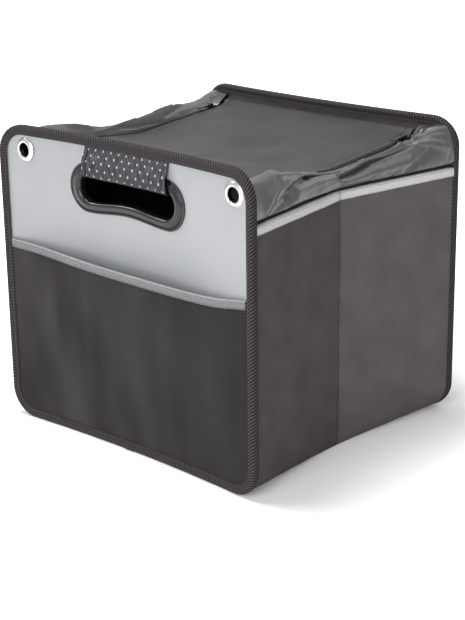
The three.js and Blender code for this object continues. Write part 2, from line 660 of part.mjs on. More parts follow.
function sliderBody() {
  const topPlate = TEETH_HIGH + GAP;
  const under = -CLOTH_THICK - GAP;
  const half = SLIDER_WIDTH / 2;
  const post = SLIDER_POST / 2;
  const outline = [
    [-half, GAP], [-half + 0.7, GAP], [-half + 0.7, topPlate], [-post, topPlate], [-post, under],
    [-half, under], [-half, under - SLIDER_PLATE], [half, under - SLIDER_PLATE], [half, under],
    [post, under], [post, topPlate], [half - 0.7, topPlate], [half - 0.7, GAP], [half, GAP],
    [half, topPlate + SLIDER_PLATE], [-half, topPlate + SLIDER_PLATE],
  ];
  const shape = new THREE.Shape(outline.map(([x, z]) => new THREE.Vector2(x, z)));
  const bar = new THREE.ExtrudeGeometry(shape, { depth: SLIDER_LENGTH, bevelEnabled: false });
  let body = solid(moved(bar, (x, y, z) => new THREE.Vector3(x, SLIDER_LENGTH / 2 - z, y)));
  const earX = PULL_WIDTH / 2 + GAP + EAR_THICK / 2;
  const earHigh = pinZ + PIN_RADIUS + EYE_WALL - topPlate - SLIDER_PLATE / 2;
  for (const way of [-1, 1]) {
    const ear = plate(EAR_THICK, 3, earHigh, way * earX, 0, topPlate + SLIDER_PLATE / 2 + earHigh / 2);
    body = body.add(solid(ear));
  }
  const pin = new THREE.CylinderGeometry(PIN_RADIUS, PIN_RADIUS, 2 * earX, 10).rotateZ(Math.PI / 2);
  return fromSolid(body.add(solid(pin.translate(0, 0, pinZ))));
}

function pullTab() {
  const shape = new THREE.Shape();
  const lean = Math.asin(PULL_THICK / 2 / pullEye);
  shape.absarc(0, 0, pullEye, -Math.PI + lean, Math.PI - lean, false);
  shape.lineTo(-PULL_LENGTH, PULL_THICK / 2);
  shape.lineTo(-PULL_LENGTH, -PULL_THICK / 2);
  shape.holes.push(new THREE.Path().absarc(0, 0, PIN_RADIUS + GAP, 0, 2 * Math.PI, true));
  const flat = new THREE.ExtrudeGeometry(shape, { depth: PULL_WIDTH, bevelEnabled: false, curveSegments: 7 });
  return closed(moved(flat, (y, z, x) => new THREE.Vector3(x - PULL_WIDTH / 2, y, z)));
}

function addZipRunner(to, name, hand) {
  const runner = new THREE.Group();
  runner.position.set(hand * (HALF_WIDTH - ZIP_IN), SLIDER_Y, zipZ(SLIDER_Y));
  runner.rotation.x = Math.atan(ZIP_RISE / ZIP_RUN);
  const slider = new THREE.Mesh(sliderBody(), material('metal', 0.3, 1));
  slider.name = `${name}_slider`;
  const pull = new THREE.Mesh(pullTab(), material('metal', 0.3, 1));
  pull.name = `${name}_pull`;
  pull.position.set(0, 0, pinZ);
  runner.add(slider, pull);
  to.add(runner);
}

function baseCloth() {
  const half = HALF_WIDTH - PANEL_CORNER - GAP;
  const columns = evenly(-half, half, BOW_STRIPS);
  return cloth(columns.length - 1, 1, (i, j, w) => {
    return new THREE.Vector3(columns[i], (2 * j - 1) * endFace(columns[i]), w * BASE_CLOTH);
  });
}

function baseBoard() {
  const halfX = HALF_WIDTH - FOLD_IN - wallThick - BASE_CLEAR;
  const halfY = endFace(0) - BASE_CLEAR;
  const [w, d] = [halfX - BASE_CORNER, halfY - BASE_CORNER];
  const shape = new THREE.Shape();
  shape.absarc(w, d, BASE_CORNER, 0, Math.PI / 2);
  shape.absarc(-w, d, BASE_CORNER, Math.PI / 2, Math.PI);
  shape.absarc(-w, -d, BASE_CORNER, Math.PI, 1.5 * Math.PI);
  shape.absarc(w, -d, BASE_CORNER, 1.5 * Math.PI, 2 * Math.PI);
  const flat = new THREE.ExtrudeGeometry(shape, { depth: BASE_BOARD, bevelEnabled: false, curveSegments: 5 });
  return closed(flat.translate(0, 0, BASE_CLOTH + GAP));
}

function addSide(to, name, hand) {
  const add = (piece, geometry, look) => {
    const mesh = new THREE.Mesh(geometry, look);
    mesh.name = `${name}_${piece}`;
    to.add(mesh);
  };
  add('wall_cloth', wallSheet(hand, 0, WALL_CLOTH, 8), material('wall', 0.9));
  add('wall_lining', wallSheet(hand, liningOut, CLOTH_THICK, 8), material('lining', 0.9));
  add('wall_board_front', halfBoard(hand, -1), material('board', 0.8));
  add('wall_board_rear', halfBoard(hand, 1), material('board', 0.8));
  add('wall_ribbon', wallRibbon(hand), material('ribbon', 0.8));
  add('collar', collar(name, hand), material('nylon', 0.5));
  add('zip_collar_side', zipHalf(hand, 'collar', COLLAR_ZIP_BACK), material('zip', 0.6));
  add('zip_lid_side', zipHalf(hand, 'lid', ZIP_BACK), material('zip', 0.6));
  addZipRunner(to, name, hand);
}

const organizer = new THREE.Group();
addEnd(organizer, 'front');
addEnd(organizer, 'back');
addSide(organizer, 'left', -1);
addSide(organizer, 'right', 1);
for (const [name, geometry, look] of [
  ['lid', lidSheet(), material('lid', 0.6)],
  ['lid_hinge_strip', hingeStrip(), material('tape', 0.9)],
  ['base_cloth', baseCloth(), material('lining', 0.9)],
  ['base_board', baseBoard(), material('lining', 0.9)],
]) {
  const mesh = new THREE.Mesh(geometry, look);
  mesh.name = name;
  organizer.add(mesh);
}

export default organizer;
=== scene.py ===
# %% [markdown]
# A folding box for a car's boot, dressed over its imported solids. The frame comes first: it holds the
# solids, their bodies and joints, and every new piece is placed in the same frame, in metres.
# Sizes are written in millimetres, as the maker of such a box would note them.

# %% Frame
import math

import bmesh
import bpy
from mathutils import Matrix, Vector, noise


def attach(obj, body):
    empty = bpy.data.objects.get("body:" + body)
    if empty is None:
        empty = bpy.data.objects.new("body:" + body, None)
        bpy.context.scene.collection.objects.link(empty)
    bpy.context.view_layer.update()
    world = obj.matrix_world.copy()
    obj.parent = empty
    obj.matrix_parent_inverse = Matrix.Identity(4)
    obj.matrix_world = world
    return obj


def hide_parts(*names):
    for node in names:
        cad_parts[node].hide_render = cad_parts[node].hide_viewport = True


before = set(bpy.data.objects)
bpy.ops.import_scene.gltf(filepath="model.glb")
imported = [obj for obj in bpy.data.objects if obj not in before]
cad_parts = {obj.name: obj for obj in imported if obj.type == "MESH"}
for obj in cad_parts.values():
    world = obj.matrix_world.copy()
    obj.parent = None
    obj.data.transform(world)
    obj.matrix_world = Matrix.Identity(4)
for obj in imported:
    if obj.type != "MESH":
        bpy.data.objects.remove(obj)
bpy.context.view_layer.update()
MM = 0.001

# %% [markdown]
# The box is 354 wide, 318 deep and 320 high. Its two end panels are bowed inwards, as the picture
# shows: the middle of each lies 10 mm further in than its sides. Each panel is a stiff sheet between
# the two legs of a folded tape. These values are the solids' own.

# %% Sizes of the box
WIDTH, DEPTH, HEIGHT = 354, 318, 320
HALF = WIDTH / 2
GAP = 0.3
END_BOW = 10
PANEL_CORNER = 31
TAPE_WIDTH = 10
CLOTH = 0.8
BOARD_FRONT, BOARD_THICK = 2.4, 2.2
BOARD_BACK = BOARD_FRONT + BOARD_THICK
PANEL_THICK = BOARD_BACK + BOARD_FRONT
BOARD_INSET = 1.6


def mix(a, b, t):
    return a + (b - a) * t


def smoothstep(low, high, x):
    t = min(max((x - low) / (high - low), 0), 1)
    return t * t * (3 - 2 * t)


def bow(x):
    return END_BOW * (1 - (x / HALF) ** 2)


def on_panel(x, depth, z):
    """The place of a point on the front panel, depth mm behind its outer face."""
    return Vector((x, depth - DEPTH / 2 + bow(x), z))


def end_face(x):
    """How far from the middle a piece between the panels may reach along Y."""
    return DEPTH / 2 - PANEL_THICK - GAP - bow(x)


print("panel middle at", on_panel(0, 0, HEIGHT / 2))

# %% [markdown]
# A few small tools are used for every piece. Operators act on whatever is selected, so each starts
# from a clean selection. A modifier is applied at once, so that the mesh is what will be seen.

# %% Selection, modifiers and edit mode
def clear_selection():
    if bpy.context.object and bpy.context.object.mode != "OBJECT":
        bpy.ops.object.mode_set(mode="OBJECT")
    bpy.ops.object.select_all(action="DESELECT")


def pick(piece):
    clear_selection()
    piece.select_set(True)
    bpy.context.view_layer.objects.active = piece


def modify(piece, kind, **settings):
    """Adds a modifier, sets it and applies it."""
    pick(piece)
    modifier = piece.modifiers.new(kind.lower(), kind)
    for name, value in settings.items():
        setattr(modifier, name, value)
    bpy.ops.object.modifier_apply(modifier=modifier.name)


def choose(piece, kind, wanted):
    """Goes into edit mode and selects what wanted(middle, part) holds for; kind is VERT, EDGE or FACE."""
    pick(piece)
    bpy.ops.object.mode_set(mode="EDIT")
    bpy.ops.mesh.select_mode(type=kind)
    bpy.ops.mesh.select_all(action="DESELECT")
    mesh = bmesh.from_edit_mesh(piece.data)
    parts = {"VERT": mesh.verts, "EDGE": mesh.edges, "FACE": mesh.faces}[kind]
    for part in parts:
        corners = [part] if kind == "VERT" else part.verts
        middle = sum((v.co for v in corners), Vector()) / len(corners)
        if wanted(middle, part):
            part.select_set(True)
    bmesh.update_edit_mesh(piece.data)


def object_mode():
    bpy.ops.object.mode_set(mode="OBJECT")


def moved(piece, place):
    """Carries every corner of a piece, given in mm, to place(corner)."""
    for corner in piece.data.vertices:
        corner.co = place(corner.co / MM) * MM
    piece.data.update()
    return piece


def repaint(node, material):
    """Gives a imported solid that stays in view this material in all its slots."""
    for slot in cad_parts[node].material_slots:
        slot.material = material


print("tools ready")

# %% [markdown]
# Cloth is cut flat and then sewn into place, so a cloth piece starts as a flat grid. Each corner of
# the grid is carried to where the sewn cloth lies, and the UV map keeps the cut's own millimetres,
# so that threads, dots and stitches follow the cloth wherever it bends. A simulation was left out:
# this cloth is held along most of its edges, and its folds are known from the object itself.

# %% Cutting and thickening cloth
def cut_cloth(name, size, cells, place):
    """A grid of cells, size mm wide and long, with its corners at place(u, v) in mm; u and v run 0 to 1."""
    clear_selection()
    bpy.ops.mesh.primitive_grid_add(x_subdivisions=cells[0], y_subdivisions=cells[1], size=1)
    piece = bpy.context.object
    piece.name = piece.data.name = name
    for loop in piece.data.uv_layers.active.data:
        loop.uv = (loop.uv[0] * size[0], loop.uv[1] * size[1])
    for corner in piece.data.vertices:
        corner.co = Vector(place(corner.co.x + 0.5, corner.co.y + 0.5)) * MM
    piece.data.update()
    return piece


def thicken(piece, thickness, facing):
    """Gives cloth its thickness behind its face side, which looks along facing where it is outermost."""
    way = Vector(facing)
    outermost = max(piece.data.polygons, key=lambda face: face.center.dot(way))
    if outermost.normal.dot(way) < 0:
        choose(piece, "FACE", lambda middle, part: True)
        bpy.ops.mesh.flip_normals()
        object_mode()
    modify(piece, "SOLIDIFY", thickness=thickness * MM, offset=-1)
    return piece


def through(points, t):
    """A point at t, from 0 to 1, of a smooth line through the points."""
    place = min(max(t, 0), 1) * (len(points) - 1)
    i = min(int(place), len(points) - 2)
    s = place - i
    p = [points[min(max(k, 0), len(points) - 1)] for k in (i - 1, i, i + 1, i + 2)]
    return [
        0.5 * (2 * b + (c - a) * s + (2 * a - 5 * b + 4 * c - d) * s**2 + (3 * b - a - 3 * c + d) * s**3)
        for a, b, c, d in zip(*p)
    ]


def length_of(points):
    return sum(math.dist(a, b) for a, b in zip(points, points[1:]))


pieces = []


def dress(piece, material, body, nodes=(), angle=40):
    """Smooths a finished piece, gives it its material and puts it on its body, for these solids."""
    pick(piece)
    bpy.ops.object.shade_smooth_by_angle(angle=math.radians(angle))
    if material:
        piece.data.materials.clear()
        piece.data.materials.append(material)
    if nodes:
        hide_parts(*nodes)
    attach(piece, body)
    pieces.append(piece)
    return piece


def turned_copy(piece, name):
    """The back panel's pieces are the front's, turned half round the box's middle."""
    pick(piece)
    bpy.ops.object.duplicate()
    twin = bpy.context.object
    twin.name = twin.data.name = name
    bpy.ops.transform.rotate(value=math.pi, orient_axis="Z", center_override=(0, 0, 0))
    bpy.ops.object.transform_apply(location=True, rotation=True, scale=True)
    return twin


print("cloth tools ready")

# %% [markdown]
# Materials are built from nodes. One function adds a node with its settings and links, and another
# turns the sRGB hex values, as a picture shows them, into the linear colours that shaders take.

# %% Node tools
def linear(value):
    parts = [int(value[i : i + 2], 16) / 255 for i in (1, 3, 5)]
    return [c / 12.92 if c <= 0.04045 else ((c + 0.055) / 1.055) ** 2.4 for c in parts] + [1.0]


def add(tree, kind, settings=None, inputs=None):
    """Adds a node; an input is linked if it is given a socket, and set if it is given a value."""
    node = tree.nodes.new(kind)
    for name, value in (settings or {}).items():
        setattr(node, name, value)
    for name, value in (inputs or {}).items():
        if isinstance(value, bpy.types.NodeSocket):
            tree.links.new(value, node.inputs[name])
        else:
            node.inputs[name].default_value = value
    return node


def new_material(name, **shader_values):
    """A material with one shader, whose plain values are set on its own sockets."""
    material = bpy.data.materials.new(name)
    material.use_nodes = True
    shader = material.node_tree.nodes["Principled BSDF"]
    for key, value in shader_values.items():
        shader.inputs[key.replace("_", " ")].default_value = value
    return material, material.node_tree, shader


def two_tone(tree, factor, first, second, way="MIX"):
    """A colour between two, each a hex value or another node's colour."""
    first, second = (linear(tone) if isinstance(tone, str) else tone for tone in (first, second))
    settings = {"data_type": "RGBA", "blend_type": way}
    return add(tree, "ShaderNodeMix", settings, {0: factor, 6: first, 7: second}).outputs[2]


def maths(tree, operation, first, second=0.0, third=0.0):
    return add(tree, "ShaderNodeMath", {"operation": operation}, {0: first, 1: second, 2: third}).outputs[0]


def ramp(tree, value, start, end, low, high, kind="LINEAR"):
    """Runs from low to high while the value runs from start to end."""
    settings = {"interpolation_type": kind}
    return add(tree, "ShaderNodeMapRange", settings, {0: value, 1: start, 2: end, 3: low, 4: high}).outputs[0]


def within(tree, value, line, reach):
    """1 where the value is less than reach away from line, 0 elsewhere."""
    return maths(tree, "LESS_THAN", maths(tree, "ABSOLUTE", maths(tree, "SUBTRACT", value, line)), reach)


def from_side(tree, along, wide):
    """How far a place of a cloth this wide is from its nearer side."""
    return maths(tree, "MINIMUM", along, maths(tree, "SUBTRACT", wide, along))


def raised(tree, shader, height, depth):
    """Turns a height from 0 to 1 into relief this many mm deep."""
    bump = add(tree, "ShaderNodeBump", {}, {"Height": height, "Distance": depth * MM, "Strength": 1.0})
    tree.links.new(bump.outputs[0], shader.inputs["Normal"])


def coloured(tree, shader, colour):
    tree.links.new(colour, shader.inputs["Base Color"])


def seen_rays(tree):
    """1 for what the camera sees straight, in a mirror or through glass, 0 for the light itself."""
    ray = add(tree, "ShaderNodeLightPath").outputs
    mirrored = maths(tree, "MAXIMUM", ray["Is Camera Ray"], ray["Is Glossy Ray"])
    return maths(tree, "MAXIMUM", mirrored, ray["Is Transmission Ray"])


BAND = 2 * math.pi / 20  # a Wave texture of scale 1 repeats after this length
print("node tools ready")

# %% [markdown]
# Weaves. Every woven piece here shows either a plain weave or a twill, whose ribs run aslant. The
# threads of such cloths are usually 0.3 to 0.6 mm apart, about half a pixel of the picture or less, so
# each weave is drawn coarser, but still fine enough for cloth. A weave is a height, from 0 to 1.

# %% Weave heights
STITCH_SHARE = 0.68  # of the length of a stitch, the thread shows over this share


def cloth_place(tree):
    """The cut cloth's own millimetres, from its UV map, along and across."""
    uv = add(tree, "ShaderNodeTexCoord").outputs["UV"]
    split = add(tree, "ShaderNodeSeparateXYZ", {}, {0: uv})
    return uv, split.outputs[0], split.outputs[1]


def twill(tree, uv, spacing, slant):
    """Ribs this many mm apart, turned by slant degrees."""
    turn = add(tree, "ShaderNodeMapping", {}, {"Vector": uv, "Rotation": (0, 0, math.radians(slant))})
    wave = add(tree, "ShaderNodeTexWave", {}, {
        "Vector": turn.outputs[0], "Scale": BAND / spacing, "Distortion": 0.6, "Detail": 1.0})
    return wave.outputs["Fac"]


def dashes(tree, along, across, line, length, width):
    """1 on a row of stitches that runs at line mm across the cloth, 0 elsewhere."""
    phase = maths(tree, "FRACT", maths(tree, "DIVIDE", along, length))
    on = maths(tree, "LESS_THAN", phase, STITCH_SHARE)
    return maths(tree, "MULTIPLY", on, within(tree, across, line, width / 2))


def mottle(tree, vector, scale, low=0.3, high=0.7, detail=3.0):
    """Soft noise stretched to run from 0 to 1 between low and high."""
    cloud = add(tree, "ShaderNodeTexNoise", {}, {"Vector": vector, "Scale": scale, "Detail": detail})
    spread = add(tree, "ShaderNodeMapRange", {}, {0: cloud.outputs["Fac"], 1: low, 2: high})
    return spread.outputs[0]


print("weaves ready")

# %% [markdown]
# Frosted sheet: such panels are extruded polypropylene with a fine matt grain, slightly see-through,
# so light that enters spreads before it leaves. A little subsurface light gives that milky look. Over
# the pocket's mouth a soft shade is painted into the sheet's colour.

# %% Frosted sheet
SHADE_FOOT, SHADE_TOP = 0.185, 0.245  # heights in metres between which the shade over the pocket fades
frosted, tree, shader = new_material(
    "frosted_polypropylene", Roughness=0.46, IOR=1.49, Subsurface_Weight=0.12, Subsurface_Scale=0.004)
place = add(tree, "ShaderNodeTexCoord").outputs["Object"]
milky = two_tone(tree, mottle(tree, place, 9.0), "#A8AAAE", "#AFB0B3")
axes = add(tree, "ShaderNodeSeparateXYZ", {}, {0: place}).outputs
# Painted shade over the pocket's mouth: darkest in the middle, fading upwards and towards the sides.
painted_shade_height = ramp(tree, axes[2], SHADE_FOOT, SHADE_TOP, 1.0, 0.0, "SMOOTHSTEP")
painted_shade_side = ramp(tree, maths(tree, "ABSOLUTE", axes[0]), 0.05, 0.175, 1.0, 0.15, "SMOOTHSTEP")
coloured(tree, shader, two_tone(tree, maths(tree, "MULTIPLY", painted_shade_height, painted_shade_side), milky, "#8E9196"))
raised(tree, shader, mottle(tree, place, 1600.0, detail=1.0), 0.02)  # matt grain of about 0.6 mm
print(frosted.name)

# %% [markdown]
# Binding tape: polypropylene webbing woven as a twill, charcoal, folded over the panel's edge and
# sewn through. Its ribs catch the light one by one, and its stitches lie in a furrow of their own.

# %% Binding tape
TAPE_RIB = 2.8  # on such tape the ribs are about 1.2 mm apart
TAPE_STITCH = 3.4  # both a stitch's length and its distance from the tape's edge
binding_tape, tree, shader = new_material("twill_binding_tape", Roughness=0.85, Specular_IOR_Level=0.1)
uv, along, across = cloth_place(tree)
ribs = twill(tree, uv, TAPE_RIB, 35)
sewn = dashes(tree, along, across, TAPE_STITCH, TAPE_STITCH, 0.9)
coloured(tree, shader, two_tone(tree, sewn, two_tone(tree, ribs, "#151314", "#544F50"), "#524D4E"))
raised(tree, shader, maths(tree, "ADD", ribs, sewn), 0.22)
print(binding_tape.name)

# %% [markdown]
# Ribbons: a narrow bright twill ribbon is folded over each raw cloth edge and sewn close to the fold.
# The picture shows fine speckles of its weave and a dashed line of thread. The walls' ribbon is paler
# than the pockets', and where it creases at the wall's fold it has a painted shade line.

# %% Ribbons
RIBBON_RIB = 1.9  # on such ribbon the ribs are about 0.8 mm apart
RIBBON_STITCHES = (1.7, 7.0)  # from the ribbon's outer edge, near its edge and near its fold
RIBBON_STITCH = 2.8  # a stitch's length
WALL_FOLD = 151  # along the wall's cloth from its front seam, just in front of its middle
NO_FOLD_SHADE = -9  # off the ribbon


def ribbon_material(name, light, threads, fold_shade_at):
    """Twill ribbon with its stitches, and a painted shade line across it, where it creases, at the given mm
    along it.
    """
    material, tree, shader = new_material(name, Roughness=0.8, Specular_IOR_Level=0.1)
    uv, along, across = cloth_place(tree)
    ribs = twill(tree, uv, RIBBON_RIB, 50)
    rows = [dashes(tree, along, across, line, RIBBON_STITCH, 0.7) for line in RIBBON_STITCHES]
    sewn = maths(tree, "MAXIMUM", *rows)
    speckle = mottle(tree, uv, 1.3, 0.35, 0.65)
    weave_colour = two_tone(tree, maths(tree, "MULTIPLY", ribs, speckle), *light)
    colour = two_tone(tree, sewn, weave_colour, two_tone(tree, rows[1], *threads))
    # A painted shade line where the ribbon creases at the wall's fold; for the pocket's ribbon it lies off
    # the ribbon.
    fold_shade = within(tree, along, fold_shade_at, 0.45)
    coloured(tree, shader, two_tone(tree, fold_shade, colour, "#5A5858"))
    raised(tree, shader, maths(tree, "SUBTRACT", maths(tree, "ADD", ribs, sewn), fold_shade), 0.2)
    return material


grey_ribbon = ribbon_material("grey_twill_ribbon", ("#707071", "#B6B6B8"), ("#5E5E5E", "#DCDCDC"), NO_FOLD_SHADE)
pale_ribbon = ribbon_material("pale_twill_ribbon", ("#D4D4D4", "#FFFFFF"), ("#9A9A9A", "#8E8E8E"), WALL_FOLD)
print(grey_ribbon.name, pale_ribbon.name)

# %% [markdown]
# Cloths. The pocket is charcoal polyester, the walls a warm grey twill, the inside a dark plain
# cloth. Their colour wanders a little with handling, so each mixes two tones; the pocket's soft
# streaks also stand for painted light. A wall's front half is painted in shade, darker than its rear
# one, its pressed fold is a painted shade line, and the pocket's right side is painted in shade.

# %% Pocket, wall and lining cloth
def woven(tree, weave, share, shadow, base):
    """The base colour, darkened between the threads."""
    return two_tone(tree, share, base, two_tone(tree, weave, shadow, "#FFFFFF"), "MULTIPLY")


pocket_cloth, tree, shader = new_material("charcoal_polyester", Roughness=0.82, Specular_IOR_Level=0.1)
uv, along, across = cloth_place(tree)
# The streaks mix wear with painted light; the pocket's right side is painted in shade.
streak = add(tree, "ShaderNodeMapping", {}, {"Vector": uv, "Scale": (0.018, 0.006, 1)})
light_and_wear_streaks = mottle(tree, streak.outputs[0], 1.0, 0.35, 0.7, 1.5)
painted_shade_towards_right = ramp(tree, along, 0.35 * WIDTH, WIDTH, 1.0, 0.15)
weave = twill(tree, uv, 2.0, 45)
base = two_tone(tree, maths(tree, "MULTIPLY", light_and_wear_streaks, painted_shade_towards_right), "#312E2F", "#4A4748")
coloured(tree, shader, woven(tree, weave, 0.25, "#B0B0B0", base))
raised(tree, shader, weave, 0.12)

wall_cloth, tree, shader = new_material("warm_grey_twill", Roughness=0.8, Specular_IOR_Level=0.05)
uv, along, across = cloth_place(tree)
weave = twill(tree, uv, 2.4, 30)
base = two_tone(tree, mottle(tree, uv, 0.03), "#6B6566", "#777172")
# The front half is painted in shade, darker than the rear half, and the pressed fold is a painted shade line.
rear_half = ramp(tree, along, WALL_FOLD - 1, WALL_FOLD + 1, 0.0, 1.0)
painted_half_shade = two_tone(tree, rear_half, "#DDDDDD", "#FFFFFF")
painted_half_shade = two_tone(tree, within(tree, along, WALL_FOLD, 0.7), painted_half_shade, "#B0B0B0")
coloured(tree, shader, two_tone(tree, 1.0, woven(tree, weave, 0.5, "#9A9A9A", base), painted_half_shade, "MULTIPLY"))
raised(tree, shader, weave, 0.12)

lining_cloth, tree, shader = new_material("dark_plain_lining", Roughness=0.9, Specular_IOR_Level=0.2)
uv, along, across = cloth_place(tree)
coloured(tree, shader, two_tone(tree, mottle(tree, uv, 0.05), "#2C2A2B", "#353334"))
raised(tree, shader, mottle(tree, uv, 1.5, detail=1.0), 0.15)
print(pocket_cloth.name, wall_cloth.name, lining_cloth.name)

# %% [markdown]
# Dotted sleeve: a heather jersey, in which pale and dark fibres are spun together, so it shows soft
# streaks along the stitches. It is printed with small near-white dots, each row set between the
# dots of the last. The dots are drawn by counting cells in the cloth's own millimetres.

# %% Dotted jersey
DOT_STEP = (10.8, 11.6)
DOT_RADIUS = 1.05
SLEEVE_WIDE, SLEEVE_HEM = 117, 5  # the hem's seam lies this far from each side
dotted_cloth, tree, shader = new_material("dotted_heather_jersey", Roughness=0.9, Specular_IOR_Level=0.05)
uv, along, across = cloth_place(tree)


def dot_row(offset):
    """1 inside the dots of one lattice, shifted by this share of a step."""
    legs = []
    for value, step in ((along, DOT_STEP[0]), (across, DOT_STEP[1])):
        cell = maths(tree, "FRACT", maths(tree, "ADD", maths(tree, "DIVIDE", value, step), offset))
        legs.append(maths(tree, "MULTIPLY", maths(tree, "SUBTRACT", cell, 0.5), step))
    far = maths(tree, "ADD", *(maths(tree, "POWER", leg, 2.0) for leg in legs))
    return maths(tree, "LESS_THAN", far, DOT_RADIUS**2)


dots = maths(tree, "MAXIMUM", dot_row(0.0), dot_row(0.5))
fibres = add(tree, "ShaderNodeMapping", {}, {"Vector": uv, "Scale": (0.7, 0.12, 1)})
heather = mottle(tree, fibres.outputs[0], 1.0)
printed = two_tone(tree, dots, two_tone(tree, heather, "#2E2E32", "#606064"), "#BEBEC2")
hem = within(tree, from_side(tree, along, SLEEVE_WIDE), SLEEVE_HEM, 0.5)
coloured(tree, shader, two_tone(tree, hem, printed, "#18181A"))
raised(tree, shader, heather, 0.25)
print(dotted_cloth.name)

# %% [markdown]
# Nylon and satin. The collars are thin coated nylon, which crinkles sharply and shines along every
# crease; along the zip a collar is bound with a dark tape, which is wider at its back end. The lid is a
# heavier, smoother polyester with a satin face, hemmed along its two zips; the hem's seam is a dark
# furrow 8 mm from the edge.

# %% Nylon and satin
ZIP_IN, ZIP_MEET, ZIP_HALF = 40.1, 1.4, 3.1
LID_HALF = HALF - ZIP_IN - ZIP_MEET / 2 - ZIP_HALF - GAP
LID_HEM = 8.0
COLLAR_LONG = 58
COLLAR_BOUND, TAIL_LONG, TAIL_WIDER = 3.6, 18, 8.0
nylon, tree, shader = new_material("crinkled_coated_nylon", Roughness=0.31, Specular_IOR_Level=0.75)
uv, along, across = cloth_place(tree)
crush = add(tree, "ShaderNodeMapping", {}, {"Vector": uv, "Scale": (0.11, 0.05, 1), "Rotation": (0, 0, 0.5)})
folds = add(tree, "ShaderNodeTexNoise", {"noise_type": "RIDGED_MULTIFRACTAL"}, {
    "Vector": crush.outputs[0], "Scale": 1.0, "Detail": 3.0})
tail = maths(tree, "GREATER_THAN", along, 2 * end_face(HALF) - TAIL_LONG)
band = maths(tree, "SUBTRACT", COLLAR_LONG - COLLAR_BOUND, maths(tree, "MULTIPLY", tail, TAIL_WIDER))
bound = maths(tree, "GREATER_THAN", across, band)
tones = two_tone(tree, mottle(tree, uv, 0.04), "#39393B", "#4A4A4C")
coloured(tree, shader, two_tone(tree, bound, tones, "#1E1E20"))
raised(tree, shader, folds.outputs["Fac"], 0.5)

satin, tree, shader = new_material("satin_lid_cloth", Roughness=0.5, Specular_IOR_Level=0.12)
uv, along, across = cloth_place(tree)
weave = twill(tree, uv, 1.5, 60)
hem = within(tree, from_side(tree, along, 2 * LID_HALF), LID_HEM, 0.6)
tones = two_tone(tree, mottle(tree, uv, 0.02), "#3A3A3C", "#434345")
coloured(tree, shader, two_tone(tree, hem, tones, "#202022"))
raised(tree, shader, maths(tree, "SUBTRACT", weave, maths(tree, "MULTIPLY", hem, 6.0)), 0.06)
print(nylon.name, satin.name)

# %% [markdown]
# Hard parts, as such boxes usually have them. The handle rings are moulded ABS with a satin grain, the
# eyelets stamped brass, nickel plated. A zip's coil is nylon, its runner cast zinc, gunmetal grey.
# Handling rubs the metals unevenly, so their roughness follows their colour.

# %% Hard materials
def hard_material(name, speck, low, tones, rubbed=None, **shader_values):
    """A solid's material, of two tones in specks; rubbed gives the share and the least of its roughness."""
    material, tree, shader = new_material(name, **shader_values)
    place = add(tree, "ShaderNodeTexCoord").outputs["Object"]
    specks = mottle(tree, place, speck, low)
    coloured(tree, shader, two_tone(tree, specks, *tones))
    if rubbed:
        tree.links.new(maths(tree, "MULTIPLY_ADD", specks, *rubbed), shader.inputs["Roughness"])
    return material, tree, shader, place, specks


abs_black, tree, shader, place, specks = hard_material(
    "satin_black_abs", 30.0, 0.3, ("#141416", "#1B1B1D"), Roughness=0.22, IOR=1.53, Specular_IOR_Level=0.4)
raised(tree, shader, mottle(tree, place, 2500.0, detail=1.0), 0.01)
grey_board, tree, shader, place, specks = hard_material(
    "pressed_grey_board", 500.0, 0.35, ("#8C8276", "#A0958A"), Roughness=0.9)
raised(tree, shader, specks, 0.05)
nickel = hard_material(
    "nickel_plated_brass", 300.0, 0.35, ("#CFCDC8", "#BDBBB6"), (0.14, 0.14), Metallic=1.0)[0]
gunmetal = hard_material(
    "gunmetal_zinc", 700.0, 0.35, ("#4C4C50", "#3C3C40"), (0.2, 0.22), Metallic=1.0)[0]
coil = hard_material("nylon_zip_coil", 400.0, 0.3, ("#1C1C1E", "#28282A"), Roughness=0.4, IOR=1.53)[0]

zip_tape, tree, shader = new_material("woven_zip_tape", Roughness=0.85, Specular_IOR_Level=0.2)
uv, along, across = cloth_place(tree)
weave = twill(tree, uv, 1.4, 90)
coloured(tree, shader, two_tone(tree, weave, "#1E1E20", "#2A2A2C"))
raised(tree, shader, weave, 0.12)
print(abs_black.name, nickel.name, gunmetal.name, coil.name, zip_tape.name, grey_board.name)

# %% [markdown]
# Floor, light and camera. The box stands on a plain pale floor under soft studio light: a lamp nearly
# overhead, a large one in front, two weak ones at the left and behind, and an even surround. Seen
# straight by the camera the surround is white. The floor's own glow rises away from the box, so its
# shadow stays. The camera stands where the photograph was taken from: it was fitted to the edges of
# the two panels, so it looks down at 18 degrees from 43 degrees to the right of the front.

# %% Floor and surround
GLOW_FROM, GLOW_TO, GLOW_LEAST = 0.24, 0.66, 0.14  # metres from the box's middle, and strength at its foot
clear_selection()
bpy.ops.mesh.primitive_grid_add(x_subdivisions=8, y_subdivisions=8, size=14, location=(0, 0, 0))
floor = bpy.context.object
floor.name = "studio_floor"
paper, tree, shader = new_material("matt_white_paper", Roughness=1.0, Specular_IOR_Level=0.0)
place = add(tree, "ShaderNodeTexCoord").outputs["Object"]
coloured(tree, shader, two_tone(tree, mottle(tree, place, 2.0), "#FCFCFC", "#FFFFFF"))
away = add(tree, "ShaderNodeVectorMath", {"operation": "LENGTH"}, {0: place}).outputs["Value"]
glow = ramp(tree, away, GLOW_FROM, GLOW_TO, GLOW_LEAST, 1.0)
tree.links.new(maths(tree, "MULTIPLY", glow, seen_rays(tree)), shader.inputs["Emission Strength"])
shader.inputs["Emission Color"].default_value = (1, 1, 1, 1)
floor.data.materials.append(paper)

